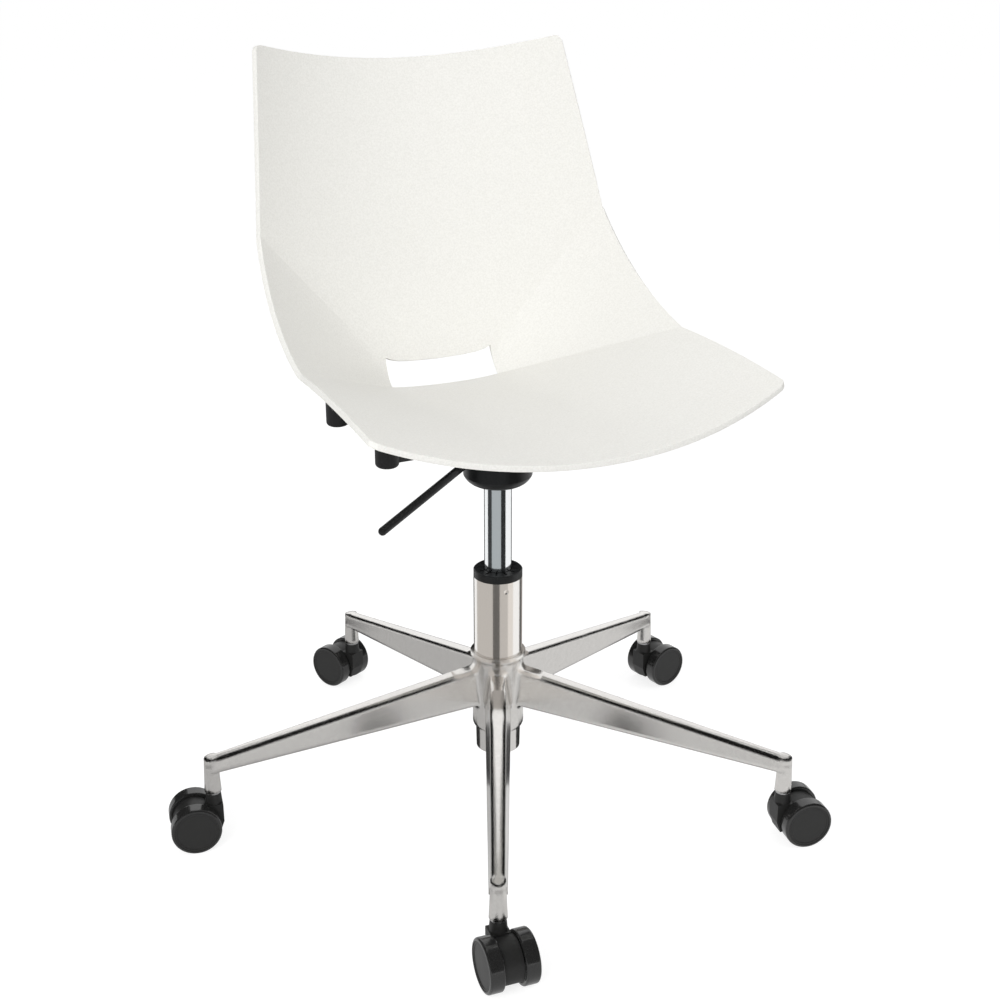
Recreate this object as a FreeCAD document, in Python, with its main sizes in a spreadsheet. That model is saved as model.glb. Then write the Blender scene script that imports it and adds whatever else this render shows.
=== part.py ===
import FreeCAD, Part
import math
import os
import Sketcher

Vector = FreeCAD.Vector
Rotation = FreeCAD.Rotation
Placement = FreeCAD.Placement

# Swivel chair with a folded one-piece shell, a gas-lift column and a five-star base on twin casters.
# Frame: millimetres, +Z up, the sitter faces -Y, origin on the floor under the column's axis.

DIMENSIONS = [
    # Star base
    ("base_turn", -25.1, "turn of the base under the seat, degrees"),
    ("stem_circle_d", 603, "circle through the five caster stems"),
    ("hub_top_z", 168, "top of the base hub"),
    ("hub_bottom_z", 80, "bottom of the base hub"),
    ("hub_d", 53, "base hub outside"),
    ("hub_rim_d", 57, "rim round the mouth of the hub"),
    ("hub_rim_h", 4, "height of that rim"),
    ("hub_round", 7, "round under the hub"),
    ("arm_root_top_z", 154, "ridge of an arm inside the hub"),
    ("arm_root_h", 40, "height of an arm inside the hub"),
    ("arm_root_w", 27, "foot width of an arm inside the hub"),
    ("arm_root_ridge_w", 16, "ridge width of an arm inside the hub"),
    ("arm_tip_top_z", 95, "ridge of an arm over the stem"),
    ("arm_tip_h", 15, "height of an arm at the stem"),
    ("arm_tip_w", 17, "foot width of an arm at the stem"),
    ("arm_tip_ridge_w", 12, "ridge width of an arm at the stem"),
    ("arm_start", 16, "distance from the axis where an arm starts"),
    ("arm_wall", 3.4, "wall of the hollow arms"),
    ("arm_roof", 5, "wall under the ridge"),
    ("arm_round", 4, "round along the ridge"),
    ("arm_hub_round", 5, "round where the arms join the hub"),
    ("rib_w", 3, "cross ribs in the arms"),
    ("stem_d", 17, "upright stem at the foot"),
    ("stem_head_d", 13, "upright stem at the ridge"),
    ("stem_bottom_z", 57, "foot of the upright stems"),
    # Casters
    ("socket_d", 11, "caster socket and peg"),
    ("socket_depth", 30, "depth of the caster socket"),
    ("press_gap", 0.03, "gap left round pressed pieces, radial"),
    ("running_gap", 0.05, "gap round turning and sliding pieces, radial"),
    ("face_gap", 0.3, "gap between faces that turn past each other"),
    ("peg_length", 28, "peg above its collar"),
    ("peg_collar_d", 15, "collar of the peg"),
    ("peg_collar_h", 2, "height of that collar"),
    ("pivot_d", 10, "pivot below the collar"),
    ("pivot_length", 19, "length of that pivot"),
    ("ring_groove_z", 19, "grip ring groove above the collar"),
    ("ring_h", 4, "height of the grip ring"),
    ("ring_depth", 0.9, "depth of the groove"),
    ("ring_split_w", 2, "split in the grip ring"),
    ("wheel_d", 50, "caster wheel over the tread"),
    ("wheel_w", 14, "width of one wheel"),
    ("tread_h", 3, "thickness of the tread"),
    ("tread_shoulder", 2.2, "round on the outer edge of the tread"),
    ("tread_inner_round", 1.6, "round on the inner edge of the tread"),
    ("wheel_rim_w", 2, "raised ring on the wheel face"),
    ("wheel_step", 0.5, "step from that ring to the disc"),
    ("wheel_wall", 4.6, "disc of the wheel"),
    ("axle_d", 6, "axle"),
    ("axle_boss_d", 13, "boss round the axle"),
    ("trail", 20, "axle behind the swivel axis"),
    ("hood_w", 18.3, "caster hood between the wheels"),
    ("hood_d", 43, "caster hood drum"),
    ("hood_wall", 2.2, "wall of the drum"),
    ("hood_web", 5, "web in the middle of the drum"),
    ("hood_bottom_z", 13, "lower edge of the hood"),
    ("wheel_gap", 0.6, "gap between hood and wheel"),
    ("neck_d", 17, "neck of the hood"),
    ("neck_top_d", 15.2, "neck of the hood at its top"),
    ("neck_z", 44, "shoulder under the neck"),
    ("front_trail", -4, "way the front caster trails, degrees"),
    ("left_trail", 80, "way the left caster trails, degrees"),
    ("rear_left_trail", 102, "way the rear left caster trails, degrees"),
    ("rear_right_trail", -152, "way the rear right caster trails, degrees"),
    ("right_trail", -100, "way the right caster trails, degrees"),
    # Column tube
    ("tube_d", 50, "column tube outside"),
    ("tube_wall", 1.8, "wall of the column tube"),
    ("tube_foot_d", 45.5, "foot of the tapered end"),
    ("tube_bottom_z", 57, "foot of the column tube"),
    ("tube_top_z", 252, "top of the column tube"),
    ("taper_top_z", 170, "top of the tapered end"),
    ("tube_lip_h", 2, "rolled lip at the foot"),
    ("tube_lip_d", 34, "opening in the rolled lip"),
    ("dimple_d", 5, "crimp dimple near the top"),
    ("dimple_depth", 0.8, "depth of the crimp dimples"),
    ("dimple_drop", 9, "dimples below the top of the tube"),
    ("bush_collar_h", 8, "collar of the guide bush"),
    ("bush_length", 62, "guide bush inside the tube"),
    ("bush_slot_w", 2.2, "slots in the collar"),
    ("bush_slot_depth", 2.5, "depth of those slots"),
    # Gas lift
    ("plate_h", 3, "end plate"),
    ("plate_hole_d", 9, "hole in the end plate"),
    ("race_h", 2, "bearing races"),
    ("race_d", 26, "bearing races outside"),
    ("ball_d", 4, "bearing balls"),
    ("ball_circle_d", 18.5, "circle of the balls"),
    ("cage_h", 2, "ball cage"),
    ("cage_d", 24, "ball cage outside"),
    ("cage_hole_d", 13.2, "ball cage inside"),
    ("ball_gap", 0.1, "gap round a ball in the cage"),
    ("rod_d", 10, "piston rod"),
    ("spigot_d", 8, "ends of the piston rod"),
    ("rod_end", 3.5, "rod below the foot of the tube"),
    ("buffer_h", 7, "buffer ring"),
    ("buffer_d", 20, "buffer ring outside"),
    ("washer_d", 16, "washer under the end plate"),
    ("washer_h", 1.4, "thickness of that washer"),
    ("clip_d", 13, "clip on the rod"),
    ("clip_h", 1.2, "thickness of the clip"),
    ("clip_depth", 0.9, "groove for the clip"),
    ("cylinder_d", 28, "gas cylinder outside"),
    ("cylinder_wall", 1.9, "wall of the gas cylinder"),
    ("cylinder_bottom_z", 154, "foot of the gas cylinder"),
    ("cylinder_lip_h", 1.5, "rolled lip at its foot"),
    ("cylinder_lip_d", 18, "opening in that lip"),
    ("cone_top_d", 26.2, "top of the tapered end"),
    ("cone_length", 34.5, "length of the tapered end"),
    ("nose_h", 12, "solid head of the cylinder"),
    ("guide_h", 16, "rod guide"),
    ("seal_h", 4.8, "rod seal"),
    ("piston_z", 224, "underside of the piston head"),
    ("piston_h", 14, "piston head"),
    ("piston_gap", 0.3, "gap round the piston head"),
    ("piston_seal_h", 4, "piston seal"),
    ("piston_groove", 1.8, "groove for the piston seal"),
    ("plug_h", 10, "valve plug"),
    ("valve_d", 8, "valve pin"),
    ("valve_stem_d", 4, "stem of the valve pin"),
    ("valve_head_h", 14, "thick end of the valve pin"),
    ("valve_rise", 9.3, "valve pin above the cylinder"),
    ("valve_tip_d", 3, "flat on the valve pin"),
    ("valve_flange_d", 7, "flange at the foot of the valve pin"),
    # Spider and lever
    ("spider_bottom_z", 351.5, "underside of the spider hub"),
    ("spider_top_z", 412, "top of the spider hub"),
    ("spider_hub_d", 69, "spider hub outside"),
    ("spider_foot_d", 36, "flat under the spider hub"),
    ("spider_bevel_h", 10.5, "bowl under the spider hub"),
    ("spider_bowl", 3, "roundness of that bowl"),
    ("chamber_d", 58, "lever chamber in the hub"),
    ("chamber_floor", 0.5, "chamber floor above the gas cylinder"),
    ("foot_x", 142, "spider feet beside the axis"),
    ("foot_y", 67, "spider feet ahead of and behind the axis"),
    ("foot_d", 22, "spider feet"),
    ("foot_bottom_z", 412, "underside of the feet"),
    ("foot_round", 4, "round under the feet"),
    ("foot_top_z", 445, "top of the feet"),
    ("bar_root_w", 22, "spider arm at the hub"),
    ("bar_root_h", 14, "height of a spider arm at the hub"),
    ("bar_tip_w", 17, "spider arm at the foot"),
    ("bar_tip_h", 14, "height of a spider arm at the foot"),
    ("bar_round", 3, "round along the spider arms"),
    ("screw_d", 6, "seat screws"),
    ("screw_hole_d", 6.6, "holes for the seat screws"),
    ("screw_head_d", 11, "heads of the seat screws"),
    ("screw_head_h", 5, "height of those heads"),
    ("screw_length", 20, "seat screws under the head"),
    ("sink_d", 13, "sinks for the screw heads"),
    ("sink_depth", 24, "depth of those sinks"),
    ("pad_d", 21, "rubber pads"),
    ("pad_h", 3, "thickness of the pads"),
    ("insert_d", 9, "threaded inserts"),
    ("insert_h", 9, "length of the inserts"),
    ("lever_turn", 30.4, "lever ahead of the sitter's right, degrees"),
    ("lever_droop", 11.7, "droop of the lever, degrees"),
    ("pivot_reach", 24, "lever pivot from the axis"),
    ("pivot_z", 393.9, "height of the lever pivot"),
    ("pin_d", 5, "lever pivot pin"),
    ("pin_length", 44, "length of that pin"),
    ("eye_d", 12, "eye of the lever"),
    ("eye_w", 8, "width of that eye"),
    ("lever_rod_d", 6, "rod of the lever"),
    ("lever_inner", 30.6, "rod past the pivot, inward"),
    ("lever_outer", 166.5, "end of the lever from the pivot"),
    ("sleeve_d", 8, "sleeve on the lever"),
    ("sleeve_start", 18, "sleeve from the pivot"),
    ("sleeve_cap", 4.5, "closed end of the sleeve"),
    ("window_w", 10, "window for the lever"),
    ("window_bottom", 6.9, "window below the pivot"),
    ("window_top", 4.4, "window above the pivot"),
    # Seat shell
    ("shell_wall", 5.5, "wall of the seat shell, square to it"),
    ("shell_half_w", 202, "half the width of the seat"),
    ("shell_rim_z", 491, "side rim where the seat meets the fold"),
    ("back_half_w", 165, "half the width of the back at its top"),
    ("back_corner_z", 763, "top corners of the back"),
    ("back_dip", 22, "dip of the top edge"),
    ("back_ref_z", 450, "height where the back's depth is given"),
    ("back_ref_y", 150, "sitting face of the back at that height"),
    ("back_slope", 0.333, "recline, depth per height"),
    ("back_hollow", 1.23, "hollow across the back, thousandths per millimetre"),
    ("back_twist", 2.76, "growth of that hollow with height, millionths"),
    ("fold_x", 60, "folds start this far from the middle"),
    ("fold_blend", 8, "softness of that start"),
    ("upper_fold_z", 441.4, "upper fold in the middle"),
    ("upper_fold_rise", 1.149, "rise of the upper fold per width"),
    ("lower_fold_y", 137.3, "lower fold in the middle"),
    ("lower_fold_run", 1.0415, "forward run of the lower fold per width"),
    ("lower_fold_z", 419.4, "height of the lower fold in the middle"),
    ("lower_fold_rise", 0.509, "rise of the lower fold per width"),
    ("facet_bulge", 0.205, "arch of the side facets, share of half the chord"),
    ("seat_front_y", -220, "front edge in the middle"),
    ("seat_corner_y", -190, "front edge at the corners"),
    ("seat_front_z", 446, "front edge in the middle"),
    ("seat_dish", 32, "dish across the front edge"),
    ("seat_arch", 4, "arch of the seat from back to front"),
    ("corner_round", 9, "round of the front corners"),
    ("top_round", 6, "round of the top corners"),
    ("side_round", 260, "sweep of the side rim where the seat meets the fold"),
    ("rim_round", 1.4, "round along the rims"),
    ("slot_half_w", 60, "half the width of the slot"),
    ("slot_top_half_w", 59, "half the width of the slot at its top"),
    ("slot_bottom_z", 424.6, "lower edge of the slot"),
    ("slot_top_z", 451, "upper corners of the slot"),
    ("slot_dip", 7.5, "dip of the slot's upper edge"),
    ("boss_d", 21, "bosses under the shell"),
    ("boss_bottom_z", 448, "underside of the bosses"),
]

ARM_COUNT = 5
RIB_BAYS = 4
BALL_COUNT = 10
BUSH_SLOTS = 12
DIMPLES = 3
CASTERS = ("front", "left", "rear_left", "rear_right", "right")
SHELL_SECTIONS = (0.0, 0.15, 0.29, 0.42, 0.56, 0.70, 0.85, 1.0)
OVERCUT = 20.0

doc = FreeCAD.newDocument("secretary_chair")
sheet = doc.addObject("Spreadsheet::Sheet", "Dimensions")


class Size:
    """A length or angle with the sheet formula that gives it."""

    def __init__(self, value, formula):
        self.value = value
        self.formula = formula

    def __float__(self):
        return float(self.value)

    def __neg__(self):
        return Size(-self.value, f"(-{self.formula})")

    def __add__(self, other):
        return Size(self.value + float(other), f"({self.formula} + {formula_of(other)})")

    def __radd__(self, other):
        return self + other

    def __sub__(self, other):
        return Size(self.value - float(other), f"({self.formula} - {formula_of(other)})")

    def __rsub__(self, other):
        return -self + other

    def __mul__(self, other):
        return Size(self.value * float(other), f"({self.formula} * {formula_of(other)})")

    def __rmul__(self, other):
        return self * other

    def __truediv__(self, other):
        return Size(self.value / float(other), f"({self.formula} / {formula_of(other)})")


def formula_of(number):
    return number.formula if isinstance(number, Size) else repr(float(number))


class Sizes:
    """The sheet's cells by alias."""


def fill_sheet():
    sizes = Sizes()
    for row, (alias, value, note) in enumerate(DIMENSIONS, start=1):
        sheet.set(f"A{row}", note)
        sheet.set(f"B{row}", str(value))
        sheet.setAlias(f"B{row}", alias)
        setattr(sizes, alias, Size(float(value), f"Dimensions.{alias}"))
    doc.recompute()
    return sizes


S = fill_sheet()


def bind(target, name, size):
    """Tie one property to the sheet."""
    target.setExpression(name, formula_of(size))


def new_body(name):
    return doc.addObject("PartDesign::Body", name)


def origin_plane(body, role):
    return next(item for item in body.Origin.OriginFeatures if item.Role == role)


def new_sketch(body, name, plane, lift=None):
    """Empty sketch on an origin plane of the body, lifted along the plane's normal."""
    sketch = body.newObject("Sketcher::SketchObject", name)
    sketch.AttachmentSupport = [(origin_plane(body, plane), "")]
    sketch.MapMode = "FlatFace"
    if lift is not None:
        bind(sketch, "AttachmentOffset.Base.z", lift)
    return sketch


def hold_point(sketch, edge, end, across, up):
    """Hold a sketch point by its two distances from the sketch's origin."""
    for kind, axis, size in (("DistanceX", -2, across), ("DistanceY", -1, up)):
        if float(size) == 0.0:
            sketch.addConstraint(Sketcher.Constraint("PointOnObject", edge, end, axis))
            continue
        index = sketch.addConstraint(Sketcher.Constraint(kind, -1, 1, edge, end, float(size)))
        bind(sketch, f"Constraints[{index}]", size)


def draw_outline(sketch, points):
    """Closed outline. A point is (across, up) or, where an arc leaves it, (across, up, rise):
    the rise of the arc over its chord, to the left of the way of travel."""
    first = sketch.GeometryCount
    count = len(points)
    ends = []
    for i, point in enumerate(points):
        after = points[(i + 1) % count]
        a = Vector(float(point[0]), float(point[1]), 0)
        b = Vector(float(after[0]), float(after[1]), 0)
        if len(point) == 2:
            sketch.addGeometry(Part.LineSegment(a, b))
            ends.append((1, 2))
            continue
        way = (b - a).normalize()
        rise = float(point[2])
        half = a.distanceToPoint(b) / 2
        radius = (half * half + rise * rise) / (2 * abs(rise))
        away = (abs(rise) - radius) * math.copysign(1, rise)
        centre = (a + b) * 0.5 + Vector(-way.y, way.x, 0) * away
        start, end = (b, a) if rise > 0 else (a, b)
        first_angle = math.atan2(start.y - centre.y, start.x - centre.x)
        last_angle = math.atan2(end.y - centre.y, end.x - centre.x)
        circle = Part.Circle(centre, Vector(0, 0, 1), radius)
        sketch.addGeometry(Part.ArcOfCircle(circle, first_angle, last_angle))
        ends.append((2, 1) if rise > 0 else (1, 2))
    for i, point in enumerate(points):
        after = (i + 1) % count
        joint = (first + i, ends[i][1], first + after, ends[after][0])
        sketch.addConstraint(Sketcher.Constraint("Coincident", *joint))
        hold_point(sketch, first + i, ends[i][0], point[0], point[1])
        if len(point) == 3:
            across = points[after][0] - point[0]
            up = points[after][1] - point[1]
            half_square = (across * across + up * up) / 4
            rise = point[2] if float(point[2]) > 0 else -point[2]
            radius = (half_square + rise * rise) / (rise * 2)
            index = sketch.addConstraint(Sketcher.Constraint("Radius", first + i, float(radius)))
            bind(sketch, f"Constraints[{index}]", radius)


def rounded_box(half, low, high, radius):
    """Outline of an upright rectangle about the sketch's upright axis, with rounded corners."""
    rise = radius * (math.sqrt(0.5) - 1)
    return [(-half + radius, low), (half - radius, low, rise), (half, low + radius),
            (half, high - radius, rise), (half - radius, high), (-half + radius, high, rise),
            (-half, high - radius), (-half, low + radius, rise)]


def draw_circle(sketch, across, up, radius):
    centre = Vector(float(across), float(up), 0)
    edge = sketch.addGeometry(Part.Circle(centre, Vector(0, 0, 1), float(radius)))
    hold_point(sketch, edge, 3, across, up)
    index = sketch.addConstraint(Sketcher.Constraint("Radius", edge, float(radius)))
    bind(sketch, f"Constraints[{index}]", radius)


def turn(body, name, points, axis="V_Axis", kind="PartDesign::Revolution"):
    """Revolve an outline in the XZ plane about one of its two axes."""
    sketch = new_sketch(body, name + "_outline", "XZ_Plane")
    draw_outline(sketch, points)
    feature = body.newObject(kind, name)
    feature.Profile = sketch
    feature.ReferenceAxis = (sketch, [axis])
    feature.Angle = 360
    return feature


def turned(name, points, axis="V_Axis"):
    """A piece that is one revolve. Points are (radius, height), or (along, radius) about H_Axis."""
    body = new_body(name)
    turn(body, name + "_turn", points, axis)
    return body


def ring(name, inner_d, outer_d, bottom, height):
    """A plain ring about Z."""
    top = bottom + height
    inner = inner_d / 2
    outer = outer_d / 2
    return turned(name, [(inner, bottom), (outer, bottom), (outer, top), (inner, top)])


def pad(body, name, sketch, length, midplane=False):
    feature = body.newObject("PartDesign::Pad", name)
    feature.Profile = sketch
    feature.Midplane = midplane
    bind(feature, "Length", length)
    return feature


def pocket(body, name, sketch, length=None, midplane=False, reverse=False):
    feature = body.newObject("PartDesign::Pocket", name)
    feature.Profile = sketch
    feature.Midplane = midplane
    feature.Reversed = reverse
    if length is None:
        feature.Type = "ThroughAll"
    else:
        bind(feature, "Length", length)
    return feature


def loft(body, name, kind, sketches):
    feature = body.newObject(kind, name)
    feature.Profile = sketches[0]
    feature.Sections = sketches[1:]
    feature.Ruled = True
    return feature


def polar(body, name, original, count):
    doc.recompute()
    feature = body.newObject("PartDesign::PolarPattern", name)
    feature.Originals = [original]
    feature.Axis = (original.Profile[0], ["V_Axis"])
    feature.Angle = 360
    feature.Occurrences = count
    return feature


def round_edges(body, name, radius, wanted):
    """Fillet the edges of the body's last feature that pass the test."""
    doc.recompute()
    base = body.Tip
    names = [f"Edge{i}" for i, edge in enumerate(base.Shape.Edges, start=1) if wanted(edge)]
    feature = body.newObject("PartDesign::Fillet", name)
    feature.Base = (base, names)
    bind(feature, "Radius", radius)
    return feature


def link(source, name, placement):
    """The same piece again in another place."""
    item = doc.addObject("App::Link", name)
    item.LinkedObject = source
    item.LinkPlacement = placement
    return item


def boolean(kind, name, base, tools):
    feature = doc.addObject(kind, name)
    if kind == "Part::Cut":
        feature.Base = base
        feature.Tool = tools[0]
    else:
        feature.Shapes = [base, *tools]
    return feature


def fillet_edges(name, source, radius, wanted):
    """Round the edges of a solid that pass the test."""
    doc.recompute()
    feature = doc.addObject("Part::Fillet", name)
    feature.Base = source
    size = float(radius)
    feature.Edges = [(i, size, size) for i, edge in enumerate(source.Shape.Edges, start=1) if wanted(edge)]
    return feature


def copy_of(source, name, placement):
    """A piece with the shape of a pattern piece, set in its own place."""
    piece = doc.addObject("Part::Feature", name)
    piece.Shape = source.Shape
    piece.Placement = placement
    return piece


def group_of(source, name, placements):
    """One node of separate, identical solids."""
    solids = []
    for placement in placements:
        solid = source.Shape.copy()
        solid.Placement = placement
        solids.append(solid)
    piece = doc.addObject("Part::Feature", name)
    piece.Shape = Part.makeCompound(solids)
    return piece


def about_z(degrees, x=0.0, y=0.0, z=0.0):
    return Placement(Vector(x, y, z), Rotation(Vector(0, 0, 1), degrees))


def tube_radius_at(height):
    """Outside of the column tube's tapered end."""
    slope = (S.tube_d - S.tube_foot_d) / 2 / (S.taper_top_z - S.tube_bottom_z)
    return S.tube_foot_d / 2 + slope * (height - S.tube_bottom_z)


def arm_size(root, tip, distance):
    """A size of the base arm, which runs straight from its root to the stem."""
    share = (distance - S.arm_start) / (S.stem_circle_d / 2 - S.arm_start)
    return root + (tip - root) * share


def arm_section(body, name, distance, inset, drop, below, radius):
    """Section of a base arm at a distance from the axis, for the arm or for its hollow."""
    top = arm_size(S.arm_root_top_z, S.arm_tip_top_z, distance)
    height = arm_size(S.arm_root_h, S.arm_tip_h, distance)
    foot = arm_size(S.arm_root_w, S.arm_tip_w, distance) / 2 - inset
    ridge = arm_size(S.arm_root_ridge_w, S.arm_tip_ridge_w, distance) / 2 - inset
    low = top - height - below
    high = top - drop
    side = ridge + (foot - ridge) * (radius / (high - low))
    rise = radius * (math.sqrt(0.5) - 1)
    sketch = new_sketch(body, name, "XZ_Plane", distance)
    draw_outline(sketch, [(-foot, low), (foot, low), (side, high - radius, rise), (ridge - radius, high),
                          (radius - ridge, high, rise), (-side, high - radius)])
    return sketch


def base_arm():
    """One arm of the star base along -Y: a hollow tapered bar with an upright stem at its end."""
    body = new_body("base_arm")
    reach = S.stem_circle_d / 2
    zero = S.arm_wall * 0
    sections = [arm_section(body, f"arm_section_{i}", at, zero, zero, zero, S.arm_round)
                for i, at in enumerate((S.arm_start, reach))]
    loft(body, "arm_bar", "PartDesign::AdditiveLoft", sections)
    stem = new_sketch(body, "stem_outline", "YZ_Plane")
    foot = S.stem_d / 2
    head = S.stem_head_d / 2
    draw_outline(stem, [(-reach, S.stem_bottom_z), (-reach + foot, S.stem_bottom_z),
                        (-reach + head, S.arm_tip_top_z + foot), (-reach, S.arm_tip_top_z + foot)])
    upright = body.newObject("PartDesign::Revolution", "stem_turn")
    upright.Profile = stem
    doc.recompute()
    last_edge = stem.GeometryCount
    upright.ReferenceAxis = (stem, [f"Edge{last_edge}"])
    upright.Angle = 360
    trim = new_sketch(body, "ridge_line", "YZ_Plane")
    beyond = reach + S.stem_d
    above = S.arm_root_top_z + S.stem_d
    draw_outline(trim, [(-S.arm_start, S.arm_root_top_z),
                        (-S.arm_start, above),
                        (-beyond, above),
                        (-beyond, arm_size(S.arm_root_top_z, S.arm_tip_top_z, beyond))])
    pocket(body, "ridge_cut", trim, midplane=True)
    hollow_start = S.hub_rim_d / 2 + S.hub_round
    hollow_end = reach - S.stem_d / 2 - S.rib_w
    bay = (hollow_end - hollow_start) / RIB_BAYS
    inner_round = S.arm_round / 4
    for i in range(RIB_BAYS):
        ends = (hollow_start + bay * i, hollow_start + bay * (i + 1) - S.rib_w)
        walls = [arm_section(body, f"hollow_{i}_{j}", at, S.arm_wall, S.arm_roof, S.rib_w, inner_round)
                 for j, at in enumerate(ends)]
        loft(body, f"hollow_{i}", "PartDesign::SubtractiveLoft", walls)
    socket = new_sketch(body, "socket_outline", "XY_Plane", S.stem_bottom_z)
    draw_circle(socket, S.arm_wall * 0, -reach, S.socket_d / 2 + S.press_gap)
    pocket(body, "caster_socket", socket, S.socket_depth, reverse=True)
    return body


def star_base():
    """Hub and five arms in one casting, with the tapered mouth for the column."""
    hub_r = S.hub_d / 2
    rim_r = S.hub_rim_d / 2
    hub = turned("base_hub", [(S.hub_d * 0, S.hub_bottom_z), (hub_r, S.hub_bottom_z),
                              (hub_r, S.hub_top_z - S.hub_rim_h - (rim_r - hub_r)),
                              (rim_r, S.hub_top_z - S.hub_rim_h),
                              (rim_r, S.hub_top_z), (S.hub_d * 0, S.hub_top_z)])

    def under_hub(edge):
        return abs(edge.BoundBox.ZMax - float(S.hub_bottom_z)) < 1e-3
    round_edges(hub, "hub_round_edge", S.hub_round, under_hub)
    arm = base_arm()
    step = 360.0 / ARM_COUNT
    arms = [link(arm, f"base_arm_{i + 1}", about_z(step * i)) for i in range(ARM_COUNT)]
    casting = boolean("Part::MultiFuse", "base_casting", hub, arms)
    casting.Refine = True

    def at_hub(edge):
        reach = [math.hypot(point.x, point.y) for point in edge.discretize(7)]
        box = edge.BoundBox
        below_rim = float(S.arm_root_top_z) - float(S.hub_rim_h) / 2 + 1
        near = min(reach) > float(hub_r) - 0.6 and max(reach) < float(rim_r) + 0.2
        upright = box.ZLength < float(S.arm_root_h) and box.ZMin > float(S.hub_bottom_z + S.hub_round) + 5
        return near and upright and box.ZMax < below_rim
    rounded = fillet_edges("base_rounded", casting, S.arm_hub_round, at_hub)
    low = S.hub_bottom_z - OVERCUT
    high = S.hub_top_z + OVERCUT
    mouth = turned("base_mouth", [(S.hub_d * 0, low), (tube_radius_at(low) + S.press_gap, low),
                                  (tube_radius_at(high) + S.press_gap, high), (S.hub_d * 0, high)])
    bored = boolean("Part::Cut", "star_base", rounded, [mouth])
    bored.Placement = about_z(float(S.base_turn))
    return bored


def caster_parts():
    """Pattern pieces of one caster: swivel axis on Z, axle along X, wheels trailing to +Y."""
    zero = S.trail * 0
    centre_z = S.wheel_d / 2
    seat_z = S.stem_bottom_z
    peg_r = S.socket_d / 2
    groove_z = seat_z + S.ring_groove_z
    peg = turned("caster_peg", [
        (zero, seat_z - S.peg_collar_h - S.pivot_length),
        (S.pivot_d / 2, seat_z - S.peg_collar_h - S.pivot_length),
        (S.pivot_d / 2, seat_z - S.peg_collar_h), (S.peg_collar_d / 2, seat_z - S.peg_collar_h),
        (S.peg_collar_d / 2, seat_z), (peg_r - S.press_gap, seat_z), (peg_r - S.press_gap, groove_z),
        (peg_r - S.ring_depth, groove_z), (peg_r - S.ring_depth, groove_z + S.ring_h),
        (peg_r - S.press_gap, groove_z + S.ring_h), (peg_r - S.press_gap, seat_z + S.peg_length - 1),
        (peg_r - 1, seat_z + S.peg_length), (zero, seat_z + S.peg_length)])
    grip = ring("grip_ring", S.socket_d - S.ring_depth * 2 + S.press_gap * 2, S.socket_d,
                groove_z + S.press_gap, S.ring_h - S.press_gap * 2)
    split = new_sketch(grip, "grip_split", "XZ_Plane")
    draw_outline(split, [(-S.ring_split_w / 2, groove_z - S.ring_h),
                         (S.ring_split_w / 2, groove_z - S.ring_h),
                         (S.ring_split_w / 2, groove_z + S.ring_h * 2),
                         (-S.ring_split_w / 2, groove_z + S.ring_h * 2)])
    pocket(grip, "grip_split_cut", split, S.socket_d)
    return {"peg": peg, "grip": grip, "housing": caster_housing(centre_z),
            "axle": caster_axle(), "wheel": caster_wheel(), "tread": caster_tread()}


def caster_housing(centre_z):
    """Hood between the two wheels: a drum shell with a web, the axle boss and the swivel neck."""
    body = new_body("caster_housing")
    zero = S.trail * 0
    drum = new_sketch(body, "drum_outline", "YZ_Plane")
    draw_circle(drum, S.trail, centre_z, S.hood_d / 2)
    draw_circle(drum, S.trail, centre_z, S.hood_d / 2 - S.hood_wall)
    pad(body, "drum", drum, S.hood_w, midplane=True)
    web = new_sketch(body, "web_outline", "YZ_Plane")
    draw_circle(web, S.trail, centre_z, S.hood_d / 2 - S.hood_wall / 2)
    pad(body, "web", web, S.hood_web, midplane=True)
    boss = new_sketch(body, "axle_boss_outline", "YZ_Plane")
    draw_circle(boss, S.trail, centre_z, S.axle_boss_d / 2)
    pad(body, "axle_boss", boss, S.hood_w, midplane=True)
    neck_r = S.neck_d / 2
    lead = new_sketch(body, "lead_outline", "YZ_Plane")
    draw_outline(lead, [(-neck_r, S.neck_z), (-neck_r, centre_z), (-neck_r + S.hood_wall * 2, S.hood_bottom_z),
                        (S.trail - S.hood_d / 2 + S.hood_wall * 2, S.hood_bottom_z),
                        (S.trail - S.hood_d / 2 + S.hood_wall * 3, centre_z),
                        (neck_r, S.neck_z - S.hood_wall * 2), (neck_r, S.neck_z)])
    pad(body, "lead", lead, S.hood_w, midplane=True)
    top = S.stem_bottom_z - S.peg_collar_h - S.face_gap
    turn(body, "neck", [(zero, S.stem_bottom_z - S.peg_collar_h - S.pivot_length - S.hood_wall * 2),
                        (neck_r, S.stem_bottom_z - S.peg_collar_h - S.pivot_length - S.hood_wall * 2),
                        (neck_r, S.neck_z), (S.neck_top_d / 2, top), (zero, top)])
    skirt = new_sketch(body, "skirt_outline", "YZ_Plane")
    draw_outline(skirt, [(-S.hood_d, -S.hood_d), (S.hood_d * 2, -S.hood_d),
                         (S.hood_d * 2, S.hood_bottom_z), (-S.hood_d, S.hood_bottom_z)])
    pocket(body, "skirt_cut", skirt, midplane=True)
    pivot = new_sketch(body, "pivot_outline", "XY_Plane", top)
    draw_circle(pivot, zero, zero, S.pivot_d / 2 + S.running_gap)
    pocket(body, "pivot_bore", pivot, S.pivot_length)
    axle = new_sketch(body, "axle_outline", "YZ_Plane")
    draw_circle(axle, S.trail, centre_z, S.axle_d / 2 + S.press_gap)
    pocket(body, "axle_bore", axle, midplane=True)
    return body


def wheel_face():
    """Outer face of a wheel from the caster's middle."""
    return S.hood_w / 2 + S.wheel_gap + S.wheel_w


def wheel_disc():
    """Sunk disc of a wheel's outer face from the caster's middle."""
    return wheel_face() - S.wheel_step * 2


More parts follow.
